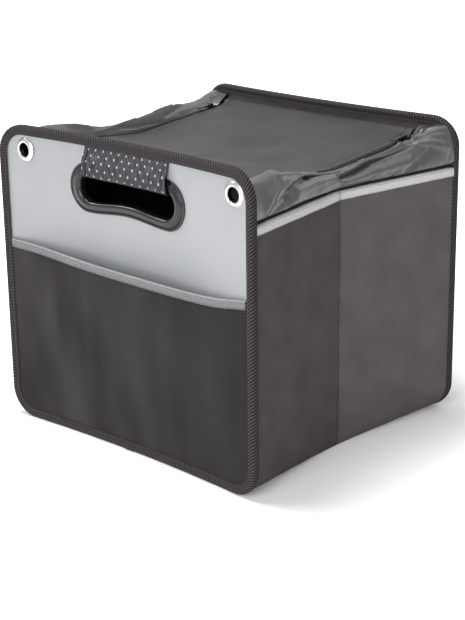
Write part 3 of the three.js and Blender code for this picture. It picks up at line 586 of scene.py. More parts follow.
world = bpy.context.scene.world or bpy.data.worlds.new("studio")
bpy.context.scene.world = world
world.use_nodes = True
tree = world.node_tree
tree.nodes.clear()
surround = add(tree, "ShaderNodeBackground", {}, {"Color": linear("#E9E9EA"), "Strength": 0.32})
white = add(tree, "ShaderNodeBackground", {}, {"Color": (1, 1, 1, 1), "Strength": 1.0})
choice = add(tree, "ShaderNodeMixShader", {}, {
    0: seen_rays(tree), 1: surround.outputs[0], 2: white.outputs[0]})
add(tree, "ShaderNodeOutputWorld", {}, {"Surface": choice.outputs[0]})
print("floor and surround")

# %% Lamps
LIT = Vector((0, 0, 0.15))  # what the lamps are turned to
for name, place, size, power in [
    ("key_lamp", (-0.45, -0.25, 2.3), 0.8, 34),
    ("front_lamp", (0.75, -2.2, 1.2), 1.4, 35),
    ("edge_lamp", (-1.6, -0.65, 1.75), 0.5, 11),
    ("rear_lamp", (0.2, 1.3, 1.9), 1.6, 6),
]:
    clear_selection()
    bpy.ops.object.light_add(type="AREA", location=place)
    lamp = bpy.context.object
    lamp.name = name
    lamp.data.size = size
    lamp.data.energy = power
    lamp.rotation_euler = (LIT - Vector(place)).to_track_quat("-Z", "Y").to_euler()
print("four lamps")

# %% Camera
CAMERA_PLACE = (1.07116, -1.13899, 0.63327)
CAMERA_TURN, CAMERA_DOWN, CAMERA_ROLL = -43.191, 18.353, -0.809
CAMERA_LENS, CAMERA_FILM = 89.654, 36
clear_selection()
bpy.ops.object.camera_add(location=CAMERA_PLACE)
camera = bpy.context.object
turn, down, roll = (math.radians(a) for a in (CAMERA_TURN, CAMERA_DOWN, CAMERA_ROLL))
forward = Vector((math.sin(turn) * math.cos(down), math.cos(turn) * math.cos(down), -math.sin(down)))
right = Vector((math.cos(turn), -math.sin(turn), 0))
up = right.cross(forward)
tilted_right = right * math.cos(roll) + up * math.sin(roll)
tilted_up = up * math.cos(roll) - right * math.sin(roll)
camera.rotation_euler = Matrix((tilted_right, tilted_up, -forward)).transposed().to_euler()
camera.data.lens = CAMERA_LENS
camera.data.sensor_width = CAMERA_FILM
bpy.context.scene.camera = camera
bpy.context.scene.view_settings.view_transform = "Standard"
print("camera at", tuple(camera.location))

# %% [markdown]
# End panels, the sheet. On the real box a sheet is die-cut with rounded corners, a handle slot and two
# eyelet holes. Here a plane gets its corners rounded by a vertex bevel, is cut into upright strips so
# that it can be bowed, gets its thickness, and then has the holes cut by booleans.

# %% Handle outline and panel sheet
HANDLE_Z, HANDLE_SIDE, HANDLE_HALF, HANDLE_ARCH = 268, 1, 52, 4
HOLE_RADIUS, RING_WIDTH, RING_WIDEN = 14, 11.5, 3
NECK = 1.5
BEAN_CUTS = 17  # cuts across each straight run of the handle, so that it can arch
CUTTER_LONG = 40
BOW_STRIPS = 32  # upright strips in which the flat sheet is bowed
EYELETS = {"left": 34.5 - HALF, "right": HALF - 27}
EYELET_Z = 294.7
EYELET_BORE, EYELET_OUTER, EYELET_WALL = 14.5, 25, 0.95
BARREL = EYELET_BORE / 2 + EYELET_WALL


def apply_place(piece):
    pick(piece)
    bpy.ops.object.transform_apply(location=True, rotation=True, scale=True)
    return piece


def stretch_to_bean(piece):
    """A ring or rod made round the Y axis is drawn out along X into the handle's bean shape."""
    run = HANDLE_HALF * MM
    for way in (-1, 1):
        choose(piece, "VERT", lambda middle, part: middle.x * way > 0)
        bpy.ops.transform.translate(value=(way * run, 0, 0))
    choose(piece, "EDGE", lambda middle, edge: abs(edge.verts[0].co.x - edge.verts[1].co.x) > run)
    bpy.ops.mesh.subdivide(number_cuts=BEAN_CUTS)
    object_mode()

    def arch(p):
        near = min(max(p.x, -HANDLE_HALF), HANDLE_HALF)
        offset = math.hypot(p.x - near, p.z) - HOLE_RADIUS
        x = p.x + (RING_WIDEN * offset / RING_WIDTH) * near / HANDLE_HALF
        rise = HANDLE_ARCH * math.cos(math.pi * near / (2 * HANDLE_HALF)) ** 2
        return Vector((HANDLE_SIDE + x, p.y, p.z + HANDLE_Z + rise))

    return moved(piece, arch)


def half_step(piece, sides):
    """Turns a round piece so that no corner lies on the line that it is drawn out from."""
    pick(piece)
    bpy.ops.object.mode_set(mode="EDIT")
    bpy.ops.mesh.select_all(action="SELECT")
    bpy.ops.transform.rotate(value=math.pi / sides, orient_axis="Y", center_override=(0, 0, 0))
    object_mode()
    return piece


def cutter(radius, sides=64):
    clear_selection()
    bpy.ops.mesh.primitive_cylinder_add(
        vertices=sides, radius=radius * MM, depth=CUTTER_LONG * MM, rotation=(math.pi / 2, 0, 0))
    return half_step(apply_place(bpy.context.object), sides)


def bowed(piece):
    return moved(piece, lambda p: on_panel(p.x, p.y, p.z))


clear_selection()
bpy.ops.mesh.primitive_plane_add(
    size=1, location=(0, BOARD_FRONT * MM, HEIGHT / 2 * MM), rotation=(math.pi / 2, 0, 0))
sheet = bpy.context.object
sheet.name = sheet.data.name = "front_panel_sheet"
sheet.scale = ((WIDTH - 2 * BOARD_INSET) * MM, (HEIGHT - 2 * BOARD_INSET) * MM, 1)
apply_place(sheet)
choose(sheet, "VERT", lambda middle, part: True)
bpy.ops.mesh.bevel(offset=(PANEL_CORNER - BOARD_INSET) * MM, segments=10, affect="VERTICES")
for line in range(1 - BOW_STRIPS // 2, BOW_STRIPS // 2):
    bpy.ops.mesh.select_all(action="SELECT")
    bpy.ops.mesh.bisect(plane_co=(line * WIDTH / BOW_STRIPS * MM, 0, 0), plane_no=(1, 0, 0))
object_mode()
modify(sheet, "SOLIDIFY", thickness=BOARD_THICK * MM, offset=-1)
holes = [stretch_to_bean(cutter(HOLE_RADIUS + NECK + GAP))]
for x in EYELETS.values():
    holes.append(moved(cutter(BARREL + GAP, 32), lambda p, x=x: p + Vector((x, 0, EYELET_Z))))
for hole in holes:
    modify(sheet, "BOOLEAN", object=hole, operation="DIFFERENCE", solver="EXACT")
    bpy.data.objects.remove(hole)
bowed(sheet)
print(sheet.name, len(sheet.data.polygons), "faces")

# %% [markdown]
# Rings. The handle's grip is a moulding with a thin lip outside, a shallow groove, and a fat rolled
# rim that passes through the sheet to a flatter counter ring. A circle is extruded and resized
# along the moulding's profile, its last loop bridged to its first, and the closed ring drawn out
# sideways. The eyelets are made by the same turning, but stay round.

# %% Turning a profile
def revolved(name, profile, sides):
    """A closed ring round the Y axis; its profile is (radius, depth) points in mm."""
    clear_selection()
    radius, depth = profile[0]
    bpy.ops.mesh.primitive_circle_add(
        vertices=sides, radius=radius * MM, location=(0, depth * MM, 0), rotation=(math.pi / 2, 0, 0))
    piece = apply_place(bpy.context.object)
    piece.name = piece.data.name = name
    half_step(piece, sides)
    pick(piece)
    bpy.ops.object.mode_set(mode="EDIT")
    bpy.ops.mesh.select_mode(type="EDGE")
    bpy.ops.mesh.select_all(action="SELECT")
    for (was, before), (now, after) in zip(profile, profile[1:]):
        bpy.ops.mesh.extrude_region()
        bpy.ops.transform.translate(value=(0, (after - before) * MM, 0))
        bpy.ops.transform.resize(value=(now / was, 1, now / was), center_override=(0, after * MM, 0))
    bpy.ops.mesh.select_all(action="DESELECT")
    bpy.ops.mesh.select_non_manifold()
    bpy.ops.mesh.bridge_edge_loops()
    bpy.ops.mesh.select_all(action="SELECT")
    bpy.ops.mesh.normals_make_consistent(inside=False)
    object_mode()
    return piece


def rounded_profile(points, steps):
    """The same profile, followed by a smooth line."""
    return [through(points, i / steps) for i in range(steps + 1)]


grip_profile = [
    (0, 6.9), (0, 4.2), (0.05, 2.4), (0.55, 0.75), (1.6, -0.45), (3.2, -1.1), (5.0, -0.9), (7.0, -0.1),
    (8.2, 0.6), (8.8, 1.7), (9.3, 1.7), (9.8, 0.9), (10.8, 0.8), (11.4, 1.2), (11.5, 2.1),
]
ring = revolved("front_grip", [(HOLE_RADIUS + o, d) for o, d in rounded_profile(grip_profile, 40)]
                + [(HOLE_RADIUS + NECK, 2.1), (HOLE_RADIUS + NECK, 6.9)], 72)
bowed(stretch_to_bean(ring))
counter_profile = [(1.8, 4.9), (9, 4.9), (9, 5.4), (8.4, 6.1), (6.4, 6.75), (3.5, 6.9), (1.8, 6.9)]
counter = revolved("front_counter_ring", [(HOLE_RADIUS + o, d) for o, d in counter_profile], 72)
bowed(stretch_to_bean(counter))
print(ring.name, len(ring.data.polygons), counter.name, len(counter.data.polygons))

# %% Eyelets
bore, rim = EYELET_BORE / 2, EYELET_OUTER / 2
eyelet_profile = [
    (bore, 6.0), (bore, 3.5), (bore, 1.2), (bore + 0.35, 0.45), (bore + 1.2, 0.12), (bore + 2.3, 0.2),
    (bore + 3.6, 0.75), (rim - 0.5, 1.6), (rim, 2.05),
]
washer_profile = [
    (BARREL + GAP, 4.9), (rim, 4.9), (rim, 5.2), (rim - 1.5, 5.9), (BARREL + 1.5, 6.1), (BARREL + GAP, 5.9),
]
shown_profile = rounded_profile(eyelet_profile, 20) + [(BARREL, 2.1), (BARREL, 6.0)]
eyelets = []
for kind, profile in (("ring", shown_profile), ("washer_ring", washer_profile)):
    for hand, x in EYELETS.items():
        eyelet = revolved(f"front_eyelet_{kind}_{hand}", profile, 48)
        moved(eyelet, lambda p, x=x: on_panel(x, p.y, p.z + EYELET_Z) + Vector((p.x, 0, 0)))
        eyelets.append(eyelet)
print([eyelet.name for eyelet in eyelets])

# %% [markdown]
# Binding. A tape is folded over the panel's whole edge; its ends overlap at the foot by 12 mm, near
# the middle. Its edge is a firm roll, with a furrow where it is sewn. It is one strip of cloth whose
# long side follows the panel's outline and whose width is wrapped over the edge.

# %% Binding tape, laid round the panel
STRAIGHT_X, STRAIGHT_Z = WIDTH - 2 * PANEL_CORNER, HEIGHT - 2 * PANEL_CORNER
QUARTER = math.pi / 2 * PANEL_CORNER
AROUND = 2 * (STRAIGHT_X + STRAIGHT_Z) + 4 * QUARTER
SPLICE, SPLICE_X, SPLICE_LIFT = 12, -10, 1.0


def outline(way):
    """The point way mm round the panel's edge from its foot, anticlockwise, and its inward direction."""
    way = way % AROUND
    w, h, r = STRAIGHT_X / 2, STRAIGHT_Z / 2, PANEL_CORNER
    runs = [
        (w, lambda s: (s, -h - r, 0, 1)),
        (QUARTER, lambda s: (w, -h, -90, s)), (2 * h, lambda s: (w + r, s - h, -1, 0)),
        (QUARTER, lambda s: (w, h, 0, s)), (2 * w, lambda s: (w - s, h + r, 0, -1)),
        (QUARTER, lambda s: (-w, h, 90, s)), (2 * h, lambda s: (-w - r, h - s, 1, 0)),
        (QUARTER, lambda s: (-w, -h, 180, s)), (w + 1, lambda s: (s - w, -h - r, 0, 1)),
    ]
    for run, (length, at) in enumerate(runs):
        if way <= length or run == len(runs) - 1:
            x, z, a, b = at(way)
            if run % 2 == 0:
                return x, z + HEIGHT / 2, a, b
            angle = math.radians(a) + b / r
            nx, nz = math.cos(angle), math.sin(angle)
            return x + nx * r, z + nz * r + HEIGHT / 2, -nx, -nz
        way -= length


tape_section = [
    (10, 0.75), (9.4, 0.1), (8, -0.15), (6.7, 0.25), (5.7, 0.2), (4.2, -0.55), (2.4, -0.75), (0.7, 0.1),
    (0, 1.6), (-0.1, 3.5), (0, 5.4), (0.7, 6.9), (2.4, 7.75), (4.2, 7.55), (5.7, 6.8), (6.7, 6.75),
    (8, 7.15), (9.4, 6.9), (10, 6.25),
]
TAPE_ACROSS = length_of(tape_section)


def tape_place(u, v):
    way = u * (AROUND + SPLICE)
    x, z, nx, nz = outline(way + SPLICE_X)
    inward, depth = through(tape_section, v)
    lift = SPLICE_LIFT * smoothstep(AROUND - 3, AROUND + 1, way) * (1 if way < AROUND + SPLICE else 0.6)
    depth += lift * (-1 if v < 0.5 else 1)
    return on_panel(x + nx * inward, depth, z + nz * inward)


binding = cut_cloth("front_binding_tape", (AROUND + SPLICE, TAPE_ACROSS), (260, 36), tape_place)
thicken(binding, 0.7, (0, -1, 0))
print(binding.name, round(AROUND), "mm round")

# %% [markdown]
# Handle sleeve. A jersey sleeve is sewn in under the binding, runs down over the ring, round under
# the bar and up again inside. Its two ends are hemmed, so the last 5 mm are double and stand up a little.

# %% Handle sleeve
WRAP_HALF = SLEEVE_WIDE / 2
sleeve_path = [
    (1.3, 313), (1.0, 309.5), (0.2, 306), (-0.8, 302.5), (-1.9, 299), (-2.8, 295),
    (-3.3, 290.5), (-3.5, 286), (-3.2, 282.2), (-2.0, 279.6), (0.8, 278.4), (3, 278.3),
    (5.2, 278.4), (7.6, 279.6), (8.7, 282.2), (8.9, 286), (8.7, 290.5), (8.3, 295),
    (7.4, 299), (6.5, 302.5), (5.9, 306), (5.6, 309.5), (5.4, 313),
]
SLEEVE_LONG = length_of(sleeve_path)


def sleeve_place(u, v):
    x = mix(-WRAP_HALF, WRAP_HALF, u)
    depth, z = through(sleeve_path, v)
    free = math.sin(math.pi * v) ** 0.5
    hem = smoothstep(WRAP_HALF - 6.2, WRAP_HALF - 5.2, abs(x)) * 0.55 * free
    ripple = 0.35 * math.sin(x / 6.5 + 0.8 * math.sin(v * 9))
    puff = (ripple + 0.5 * noise.noise(Vector((x / 14, v * 5, 3)))) * free
    out = -1 if v < 0.45 else 1
    dip = 0.5 * noise.noise(Vector((x / 20, 7, 0))) * smoothstep(0.3, 0.4, v) * (1 - smoothstep(0.5, 0.6, v))
    shift = HANDLE_SIDE + 0.6 * math.sin(v * 20) * smoothstep(40, 57, abs(x))
    return on_panel(x + shift, depth + out * (hem + max(puff, -0.1)), z + dip)


sleeve = cut_cloth("front_handle_sleeve", (2 * WRAP_HALF, SLEEVE_LONG), (76, 72), sleeve_place)
thicken(sleeve, 0.6, (0, -1, 0))
print(sleeve.name, round(SLEEVE_LONG, 1), "mm long")

# %% [markdown]
# End pocket. A flat charcoal cloth is sewn in at both sides and at the foot. The panel is bowed, so
# the mouth spans straight across the hollow and dips a little. Soft upright folds run down from it.

# %% End pocket and its ribbon
POCKET_HEIGHT, POCKET_TUCK = 197.2, 3.5
POCKET_HALF = HALF - TAPE_WIDTH - 2.5
MOUTH_DIP = [0, 0.2, 2.2, 4.4, 5.6, 6.1, 6.4, 6.2, 4.6, -0.4]  # at even steps from its left end to its right
SLOT_OUT = 1.3
MOUTH_STAND = 1.7
RIBBON_WIDTH = 7.8


def mouth(x):
    t = min(max(x / POCKET_HALF, -1), 1)
    return POCKET_HEIGHT - through([[dip] for dip in MOUTH_DIP], (t + 1) / 2)[0]


def pocket_depth(x, z):
    """Depth of the pocket's outer face: it leaves the bowed panel towards its mouth."""
    t = min(max(x / POCKET_HALF, -1), 1)
    open_by = min(max((z - TAPE_WIDTH - 1) / (POCKET_HEIGHT - TAPE_WIDTH), 0), 1) ** 1.3
    span = (bow(x) - bow(POCKET_HALF) + MOUTH_STAND) * (1 - smoothstep(POCKET_HALF, POCKET_HALF + 2, abs(x)))
    held = (1 - t**4) * math.sin(math.pi * min(open_by, 0.93) ** 0.8)
    ripple = 0.3 * noise.noise(Vector((x / 15 + z / 90, z / 80, 4)))
    drape = 1.6 * noise.noise(Vector((x / 42, z / 140, 11))) + ripple
    return SLOT_OUT - span * open_by - 1.2 * held - held * drape


def pocket_place(u, v):
    x = mix(-(HALF - POCKET_TUCK), HALF - POCKET_TUCK, u)
    z = mix(POCKET_TUCK, mouth(x), v)
    corner = PANEL_CORNER - POCKET_TUCK
    drop = max(PANEL_CORNER - z, 0)
    narrow = corner - math.sqrt(max(corner**2 - drop**2, 0))
    x *= 1 - narrow / (HALF - POCKET_TUCK)
    return on_panel(x, pocket_depth(x, z), z)


POCKET_CUT = (WIDTH - 2 * POCKET_TUCK, POCKET_HEIGHT - POCKET_TUCK)
pocket = cut_cloth("front_pocket_cloth", POCKET_CUT, (150, 80), pocket_place)
thicken(pocket, 0.7, (0, -1, 0))

ribbon_path = [
    (-1.0, -RIBBON_WIDTH), (-1.15, -6.5), (-1.15, -3), (-1.1, -0.6), (-0.6, 0.9), (0.4, 1.15),
    (1.4, 0.9), (1.9, -0.6), (1.95, -3), (1.95, -6.5), (1.85, -RIBBON_WIDTH),
]
RIBBON_OVER = 1.5  # it runs on past each side of the mouth
RIBBON_CUT = (2 * (POCKET_HALF + RIBBON_OVER), length_of(ribbon_path))


def pocket_ribbon_place(u, v):
    x = mix(-POCKET_HALF - RIBBON_OVER, POCKET_HALF + RIBBON_OVER, u)
    depth, rise = through(ribbon_path, v)
    z = mouth(x) + rise
    return on_panel(x, pocket_depth(x, min(z, mouth(x))) + depth, z)


pocket_ribbon = cut_cloth("front_mouth_ribbon", RIBBON_CUT, (130, 20), pocket_ribbon_place)
thicken(pocket_ribbon, 0.5, (0, -1, 0))
print(pocket.name, pocket_ribbon.name)

# %% [markdown]
# The two ends are alike, so the back one is a turned copy of the front one, each piece with its own
# mesh. Every piece then rides on the box and stands for its solid.

# %% Both end panels
end_pieces = [
    (sheet, "panel_sheet", frosted, "board"),
    (ring, "grip", abs_black, "handle_ring"),
    (counter, "counter_ring", abs_black, "handle_back_ring"),
    (binding, "binding_tape", binding_tape, "binding"),
    (sleeve, "handle_sleeve", dotted_cloth, "handle_wrap"),
    (pocket, "pocket_cloth", pocket_cloth, "pocket"),
    (pocket_ribbon, "mouth_ribbon", grey_ribbon, "pocket_ribbon"),
    (eyelets[0], "eyelet_ring_left", nickel, "eyelet_left"),
    (eyelets[1], "eyelet_ring_right", nickel, "eyelet_right"),
    (eyelets[2], "washer_ring_left", nickel, "eyelet_washer_left"),
    (eyelets[3], "washer_ring_right", nickel, "eyelet_washer_right"),
]
cuts = {
    "binding_tape": (AROUND + SPLICE, TAPE_ACROSS, "folded", "panel_sheet"),
    "handle_sleeve": (2 * WRAP_HALF, SLEEVE_LONG, "folded", "grip"),
    "pocket_cloth": (*POCKET_CUT, "hung", "binding_tape"),
    "mouth_ribbon": (*RIBBON_CUT, "folded", "pocket_cloth"),
}
MORE_AT_FOOT, MORE_AT_TOP = -1.5, 2.7


def bowed_more(p):
    """The front panel is pulled in a little further at its top, and less at its foot."""
    return p + Vector((0, mix(MORE_AT_FOOT, MORE_AT_TOP, p.z / HEIGHT) * (1 - (p.x / HALF) ** 2), 0))


for piece, name, material, node in end_pieces:
    twin = turned_copy(piece, f"back_{name}")
    moved(piece, bowed_more)
    for side, each in (("front", piece), ("back", twin)):
        dress(each, material, "box", [f"{side}_{node}"])
for side in ("front", "back"):
    for name, (across_mm, along_mm, held, carrier) in cuts.items():
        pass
print(len(pieces), "pieces on the two ends")

# %% [markdown]
# Side walls. A twill cloth covers two half boards, and folds inwards between them at mid-depth, so
# each wall is a shallow V. At the foot it rounds in to the base, as the panel's corner does. A row of
# the grid lies along the box, a column runs up from the foot. Where the half boards end, above the
# rounded foot, the cloth is free to crease; just in front of the fold it stands up in a low ridge.

# %% Wall shape
WALL_INSET, FOLD_IN, FOLD_ROUND = 2.5, 28.5, 0.00004
WALL_TOP = 267.5
WALL_CLOTH, HALF_BOARD = 1, 2
WALL_THICK = WALL_CLOTH + 2 * GAP + HALF_BOARD + CLOTH
FOOT_LONG = math.pi / 2 * PANEL_CORNER
WALL_LONG = FOOT_LONG + WALL_TOP - PANEL_CORNER
WALL_ACROSS = 2 * math.hypot(end_face(HALF), FOLD_IN - WALL_INSET)
hands = {"left": -1, "right": 1}


def fold_in(n):
    return mix(FOLD_IN, WALL_INSET, math.sqrt(n * n + FOLD_ROUND))


def on_wall(hand, n, climb, t):
    """n runs from -1 at the front to 1 at the back, climb in mm up from the foot, t in from the face."""
    turn = min(climb / PANEL_CORNER, math.pi / 2)
    across = PANEL_CORNER - (PANEL_CORNER - fold_in(n) - t) * math.sin(turn)
    if climb < FOOT_LONG:
        z = PANEL_CORNER - (PANEL_CORNER - t) * math.cos(turn)
    else:
        z = PANEL_CORNER + climb - FOOT_LONG
    at_end = PANEL_CORNER - (PANEL_CORNER - WALL_INSET - t) * math.sin(turn)
    return Vector((hand * (HALF - across), n * end_face(HALF - at_end), z))


def wall_relief(n, climb, seed):
    """How far the cloth stands out from its flat lie: slack between seams, sharper over the foot."""
    held = (1 - n**8) * smoothstep(0, 20, climb) * (1 - smoothstep(WALL_LONG - 30, WALL_LONG - 12, climb))
    slack = 0.5 + 0.9 * noise.noise(Vector((n * 3 + seed, climb / 90, 1)))
    ripple = 0.5 * noise.noise(Vector((n * 9 + seed, climb / 40 + n, 5)))
    crease_at = FOOT_LONG + 6 + 10 * noise.noise(Vector((n * 2 + seed, 2, 2)))
    crease = 1.3 * math.exp(-((climb - crease_at) / 5) ** 2) * smoothstep(-0.05, 0.2, n)
    ridge = 0.7 * math.exp(-(((n + 0.035) / 0.022) ** 2)) * smoothstep(20, 60, climb)
    return held * (max(slack + ripple, 0) + crease) + ridge


for name, hand in hands.items():
    def cloth_at(u, v, hand=hand):
        n, climb = 2 * u - 1, v * WALL_LONG
        return on_wall(hand, n, climb, -wall_relief(n, climb, 10 * hand))

    def lining_at(u, v, hand=hand):
        return on_wall(hand, 2 * u - 1, v * WALL_LONG, WALL_THICK)

    wall = cut_cloth(f"{name}_wall_twill", (WALL_ACROSS, WALL_LONG), (120, 90), cloth_at)
    thicken(wall, 0.9, (hand, 0, 0))
    dress(wall, wall_cloth, "box", [f"{name}_wall_cloth"], 60)
    lining = cut_cloth(f"{name}_wall_inside", (WALL_ACROSS, WALL_LONG), (48, 40), lining_at)
    thicken(lining, 0.7, (-hand, 0, 0))
    dress(lining, lining_cloth, "box", [f"{name}_wall_lining"], 60)
    for half in ("front", "rear"):
        repaint(f"{name}_wall_board_{half}", grey_board)
    print(wall.name, lining.name)

# %% [markdown]
# Wall ribbon. The pale ribbon is folded over the wall's top edge and follows it round the fold.

# %% Wall ribbons
WALL_RIBBON_LEG = 7.6
ribbon_leg = [(0.95, -WALL_RIBBON_LEG), (1.1, -6.5), (1.1, -3), (1.05, -0.5), (0.5, 0.9)]
wall_ribbon_path = [(-out, rise) for out, rise in ribbon_leg] + [(WALL_THICK / 2, 1.15)] + [
    (WALL_THICK + out, rise) for out, rise in reversed(ribbon_leg)]
ribbon_across = length_of(wall_ribbon_path)
for name, hand in hands.items():
    def ribbon_at(u, v, hand=hand):
        t, rise = through(wall_ribbon_path, v)
        ease = 0.25 * noise.noise(Vector((u * 14, hand, 2)))
        return on_wall(hand, 2 * u - 1, WALL_LONG + rise + ease, t)

    ribbon = cut_cloth(f"{name}_top_ribbon", (WALL_ACROSS, ribbon_across), (120, 20), ribbon_at)
    thicken(ribbon, 0.5, (hand, 0, 0))
    dress(ribbon, pale_ribbon, "box", [f"{name}_wall_ribbon"], 60)
    print(ribbon.name)

# %% [markdown]
# Collars. Thin nylon rises from behind the ribbon, rolls over a soft crest and runs in to the zip. The
# real one is cut longer than its seams, so it gathers into slanting wrinkles; they are the sharpest
# near the zip and the ribbon, where the stitches pull. COLLAR_LONG is the plain run from ribbon to
# zip, without that extra, so the wrinkled collar has more area than the size it is cut to here. The
# wrinkled collar has more area than the size declared for it.

# %% Collars
ZIP_FOLD_Z, ZIP_RISE, ZIP_RUN = 288, 12, 130.5
COLLAR_EDGE = ZIP_IN - ZIP_MEET / 2 - ZIP_HALF - GAP
COLLAR_BEHIND = WALL_THICK + 2 * GAP + CLOTH
COLLAR_BELLY = 9
CORNER_RISE, CORNER_IN = 11, 4.2  # at its back corner a collar rises to the panel and closes up to the lid
CREST_LIFTS = {
    "left": [10, 13, 13, 9, 12, 12.5, 11.5, 8, 12],
    "right": [8, 10.5, 6, 2, -0.5, 0.5, 1, 4, 12],
}
CREASE_DEPTH = {"left": 0.8, "right": 1.5}
# Each crease runs from one point to another, given as n along and v up the collar; then come its
# height outwards and its half width, in mm.
CREASES = {
    "right": [
        (0.02, 0.33, 0.6, 0.40, 2.6, 5.0), (0.0, 0.46, 0.7, 0.66, -3.0, 3.6),
        (0.1, 0.60, 0.92, 0.88, 2.4, 2.6), (0.12, 0.84, 0.62, 0.92, -1.8, 1.3),
        (0.98, 0.36, 0.6, 0.74, 2.2, 2.6), (1.0, 0.52, 0.70, 0.86, -2.2, 2.0),
        (0.95, 0.72, 0.84, 0.96, 1.8, 2.0), (0.58, 0.26, 0.82, 0.44, -1.8, 2.2),
        (0.24, 0.18, 0.28, 0.3, -1.4, 1.6), (0.44, 0.18, 0.5, 0.3, -1.4, 1.6),
        (0.66, 0.18, 0.7, 0.27, -1.2, 1.6), (0.93, 0.2, 0.97, 0.36, -1.6, 1.8),
        (-0.86, 0.46, -0.74, 0.66, 2.6, 9.0), (-0.64, 0.98, -0.6, 0.78, -2.2, 2.0),
        (-0.5, 0.84, -0.22, 0.9, 1.8, 3.0), (0.0, 0.74, -0.35, 0.56, -3.2, 3.4),
        (-0.35, 0.56, -0.62, 0.34, -3.2, 3.6), (-0.08, 0.5, -0.5, 0.38, 2.4, 2.8),
        (-0.62, 0.34, -0.85, 0.24, -2.2, 3.0), (-0.2, 0.2, -0.6, 0.2, -1.6, 2.0),
        (-0.9, 0.3, -0.7, 0.5, 1.6, 2.4), (-0.45, 0.66, -0.7, 0.6, 2.0, 3.0),
        (0.3, 0.5, 0.5, 0.56, 1.2, 1.6), (0.2, 0.7, 0.45, 0.76, -1.4, 1.4),
    ],
    "left": [
        (-0.9, 0.6, -0.4, 0.8, 2.4, 3.0), (-0.7, 0.5, -0.2, 0.62, -2.4, 2.6),
        (-0.35, 0.9, 0.05, 0.7, 2.2, 2.6), (-0.1, 0.85, 0.3, 0.95, -2.2, 2.2),
        (0.1, 0.6, 0.6, 0.78, 2.4, 3.0), (0.35, 0.86, 0.75, 0.7, -2.4, 2.2),
        (0.5, 0.9, 0.9, 0.84, 2.0, 2.0), (0.8, 0.6, 0.95, 0.9, -2.0, 2.4),
        (-0.6, 0.92, -0.3, 0.95, -1.8, 1.8), (-0.15, 0.45, 0.2, 0.55, 2.2, 2.8),
        (0.0, 0.35, 0.5, 0.45, -2.6, 3.0), (-0.8, 0.3, -0.3, 0.4, 2.2, 3.0),
        (0.55, 0.3, 0.9, 0.5, 2.4, 3.0), (0.25, 0.7, 0.45, 0.72, 1.8, 1.6),
        (-0.5, 0.7, -0.25, 0.74, -1.8, 1.6),
    ],
}


def zip_z(y):
    return ZIP_FOLD_Z + ZIP_RISE * math.sqrt(y * y + 4) / ZIP_RUN


def creased(n, v, lines):
    """Sum of the creases at this place of the collar, in mm outwards."""
    here = Vector((n * WALL_ACROSS / 2, v * COLLAR_LONG))
    total = 0
    for n1, v1, n2, v2, height, width in lines:
        start = Vector((n1 * WALL_ACROSS / 2, v1 * COLLAR_LONG))
        run = Vector((n2 * WALL_ACROSS / 2, v2 * COLLAR_LONG)) - start
        t = min(max((here - start).dot(run) / run.length_squared, 0), 1)
        waver = 1.6 * noise.noise(Vector((n * 8, v1 * 7, n1 * 5)))
        away = (here - start - run * t).length + waver * min(t, 1 - t) * 2
        total += height * math.exp(-((away / width) ** 2))
    return total


def collar_place(name, hand, u, v):
    n = 2 * u - 1
    f = fold_in(n) + COLLAR_BEHIND
    reach = COLLAR_EDGE - f
    belly = max(COLLAR_BELLY - reach, 0)
    seam = zip_z(n * ZIP_RUN) + CORNER_RISE * smoothstep(0.82, 1, n)
    top = zip_z(n * ZIP_RUN) + through([[lift] for lift in CREST_LIFTS[name]], u)[0]
    start = WALL_TOP + GAP + CLOTH + 1.5
    edge = COLLAR_EDGE + CORNER_IN * smoothstep(0.835, 0.875, n)
    line = [
        (f, WALL_TOP - 8), (f, start),
        (f - 3.6 - 0.1 * reach - 0.3 * belly, mix(start, top, 0.12)),
        (f - 2.2 - 0.12 * reach - 0.9 * belly, mix(start, top, 0.5)),
        (f - 0.06 * reach - belly, mix(start, top, 0.78)),
        (f + 0.12 * reach - 0.8 * belly, mix(start, top, 0.97)),
        (f + 0.4 * reach - 0.5 * belly, top),
        (f + 0.72 * reach - 0.2 * belly, mix(top, seam, 0.5)), (edge, seam),
    ]
    inward, z = through(line, v)
    free = smoothstep(0.14, 0.24, v) * (1 - smoothstep(0.96, 1.0, v)) * (1 - n**14)
    small = noise.noise(Vector((n * 20 - 4 * v, v * 7, 7 * hand)))
    smaller = 0.5 * noise.noise(Vector((n * 44, v * 16, hand)))
    wrinkle = free * (CREASE_DEPTH[name] * creased(n, v, CREASES[name]) + 0.3 * (small + smaller))
    level = smoothstep(0.45, 0.8, v)
    x = HALF - inward + wrinkle * (1 - level)
    return Vector((hand * x, n * end_face(x), z + wrinkle * level))


for name, hand in hands.items():
    collar = cut_cloth(f"{name}_nylon_collar", (WALL_ACROSS, COLLAR_LONG), (220, 72),
                       lambda u, v, name=name, hand=hand: collar_place(name, hand, u, v))
    thicken(collar, 0.5, (hand, 0, 0))
    dress(collar, nylon, "box", [f"{name}_collar"], 70)
    print(collar.name)

# %% [markdown]
# Lid. A smooth cloth hangs between the two zips and the seam along the back panel, and sags in the
# middle. Soft creases start at the zips. The strip that it is sewn to bridges the hollow of the panel,
# and its two ends hang down behind the zips, so no daylight shows at the corners.

# %% Lid and its back seam
HINGE_Y, HINGE_Z, HINGE_GAP = 138.5, 306, 0.6
LID_SAG, LID_FRONT_GAP = 17, 5
LID_BACK = HINGE_Y - HINGE_GAP / 2


def lid_height(x, y):
    t = min(max(1 - (x / LID_HALF) ** 2, 0), 1)
    middle = HINGE_Z - LID_SAG * (1 - min((y / ZIP_RUN) ** 2, 1))
    return mix(zip_z(y), middle, t**0.6)


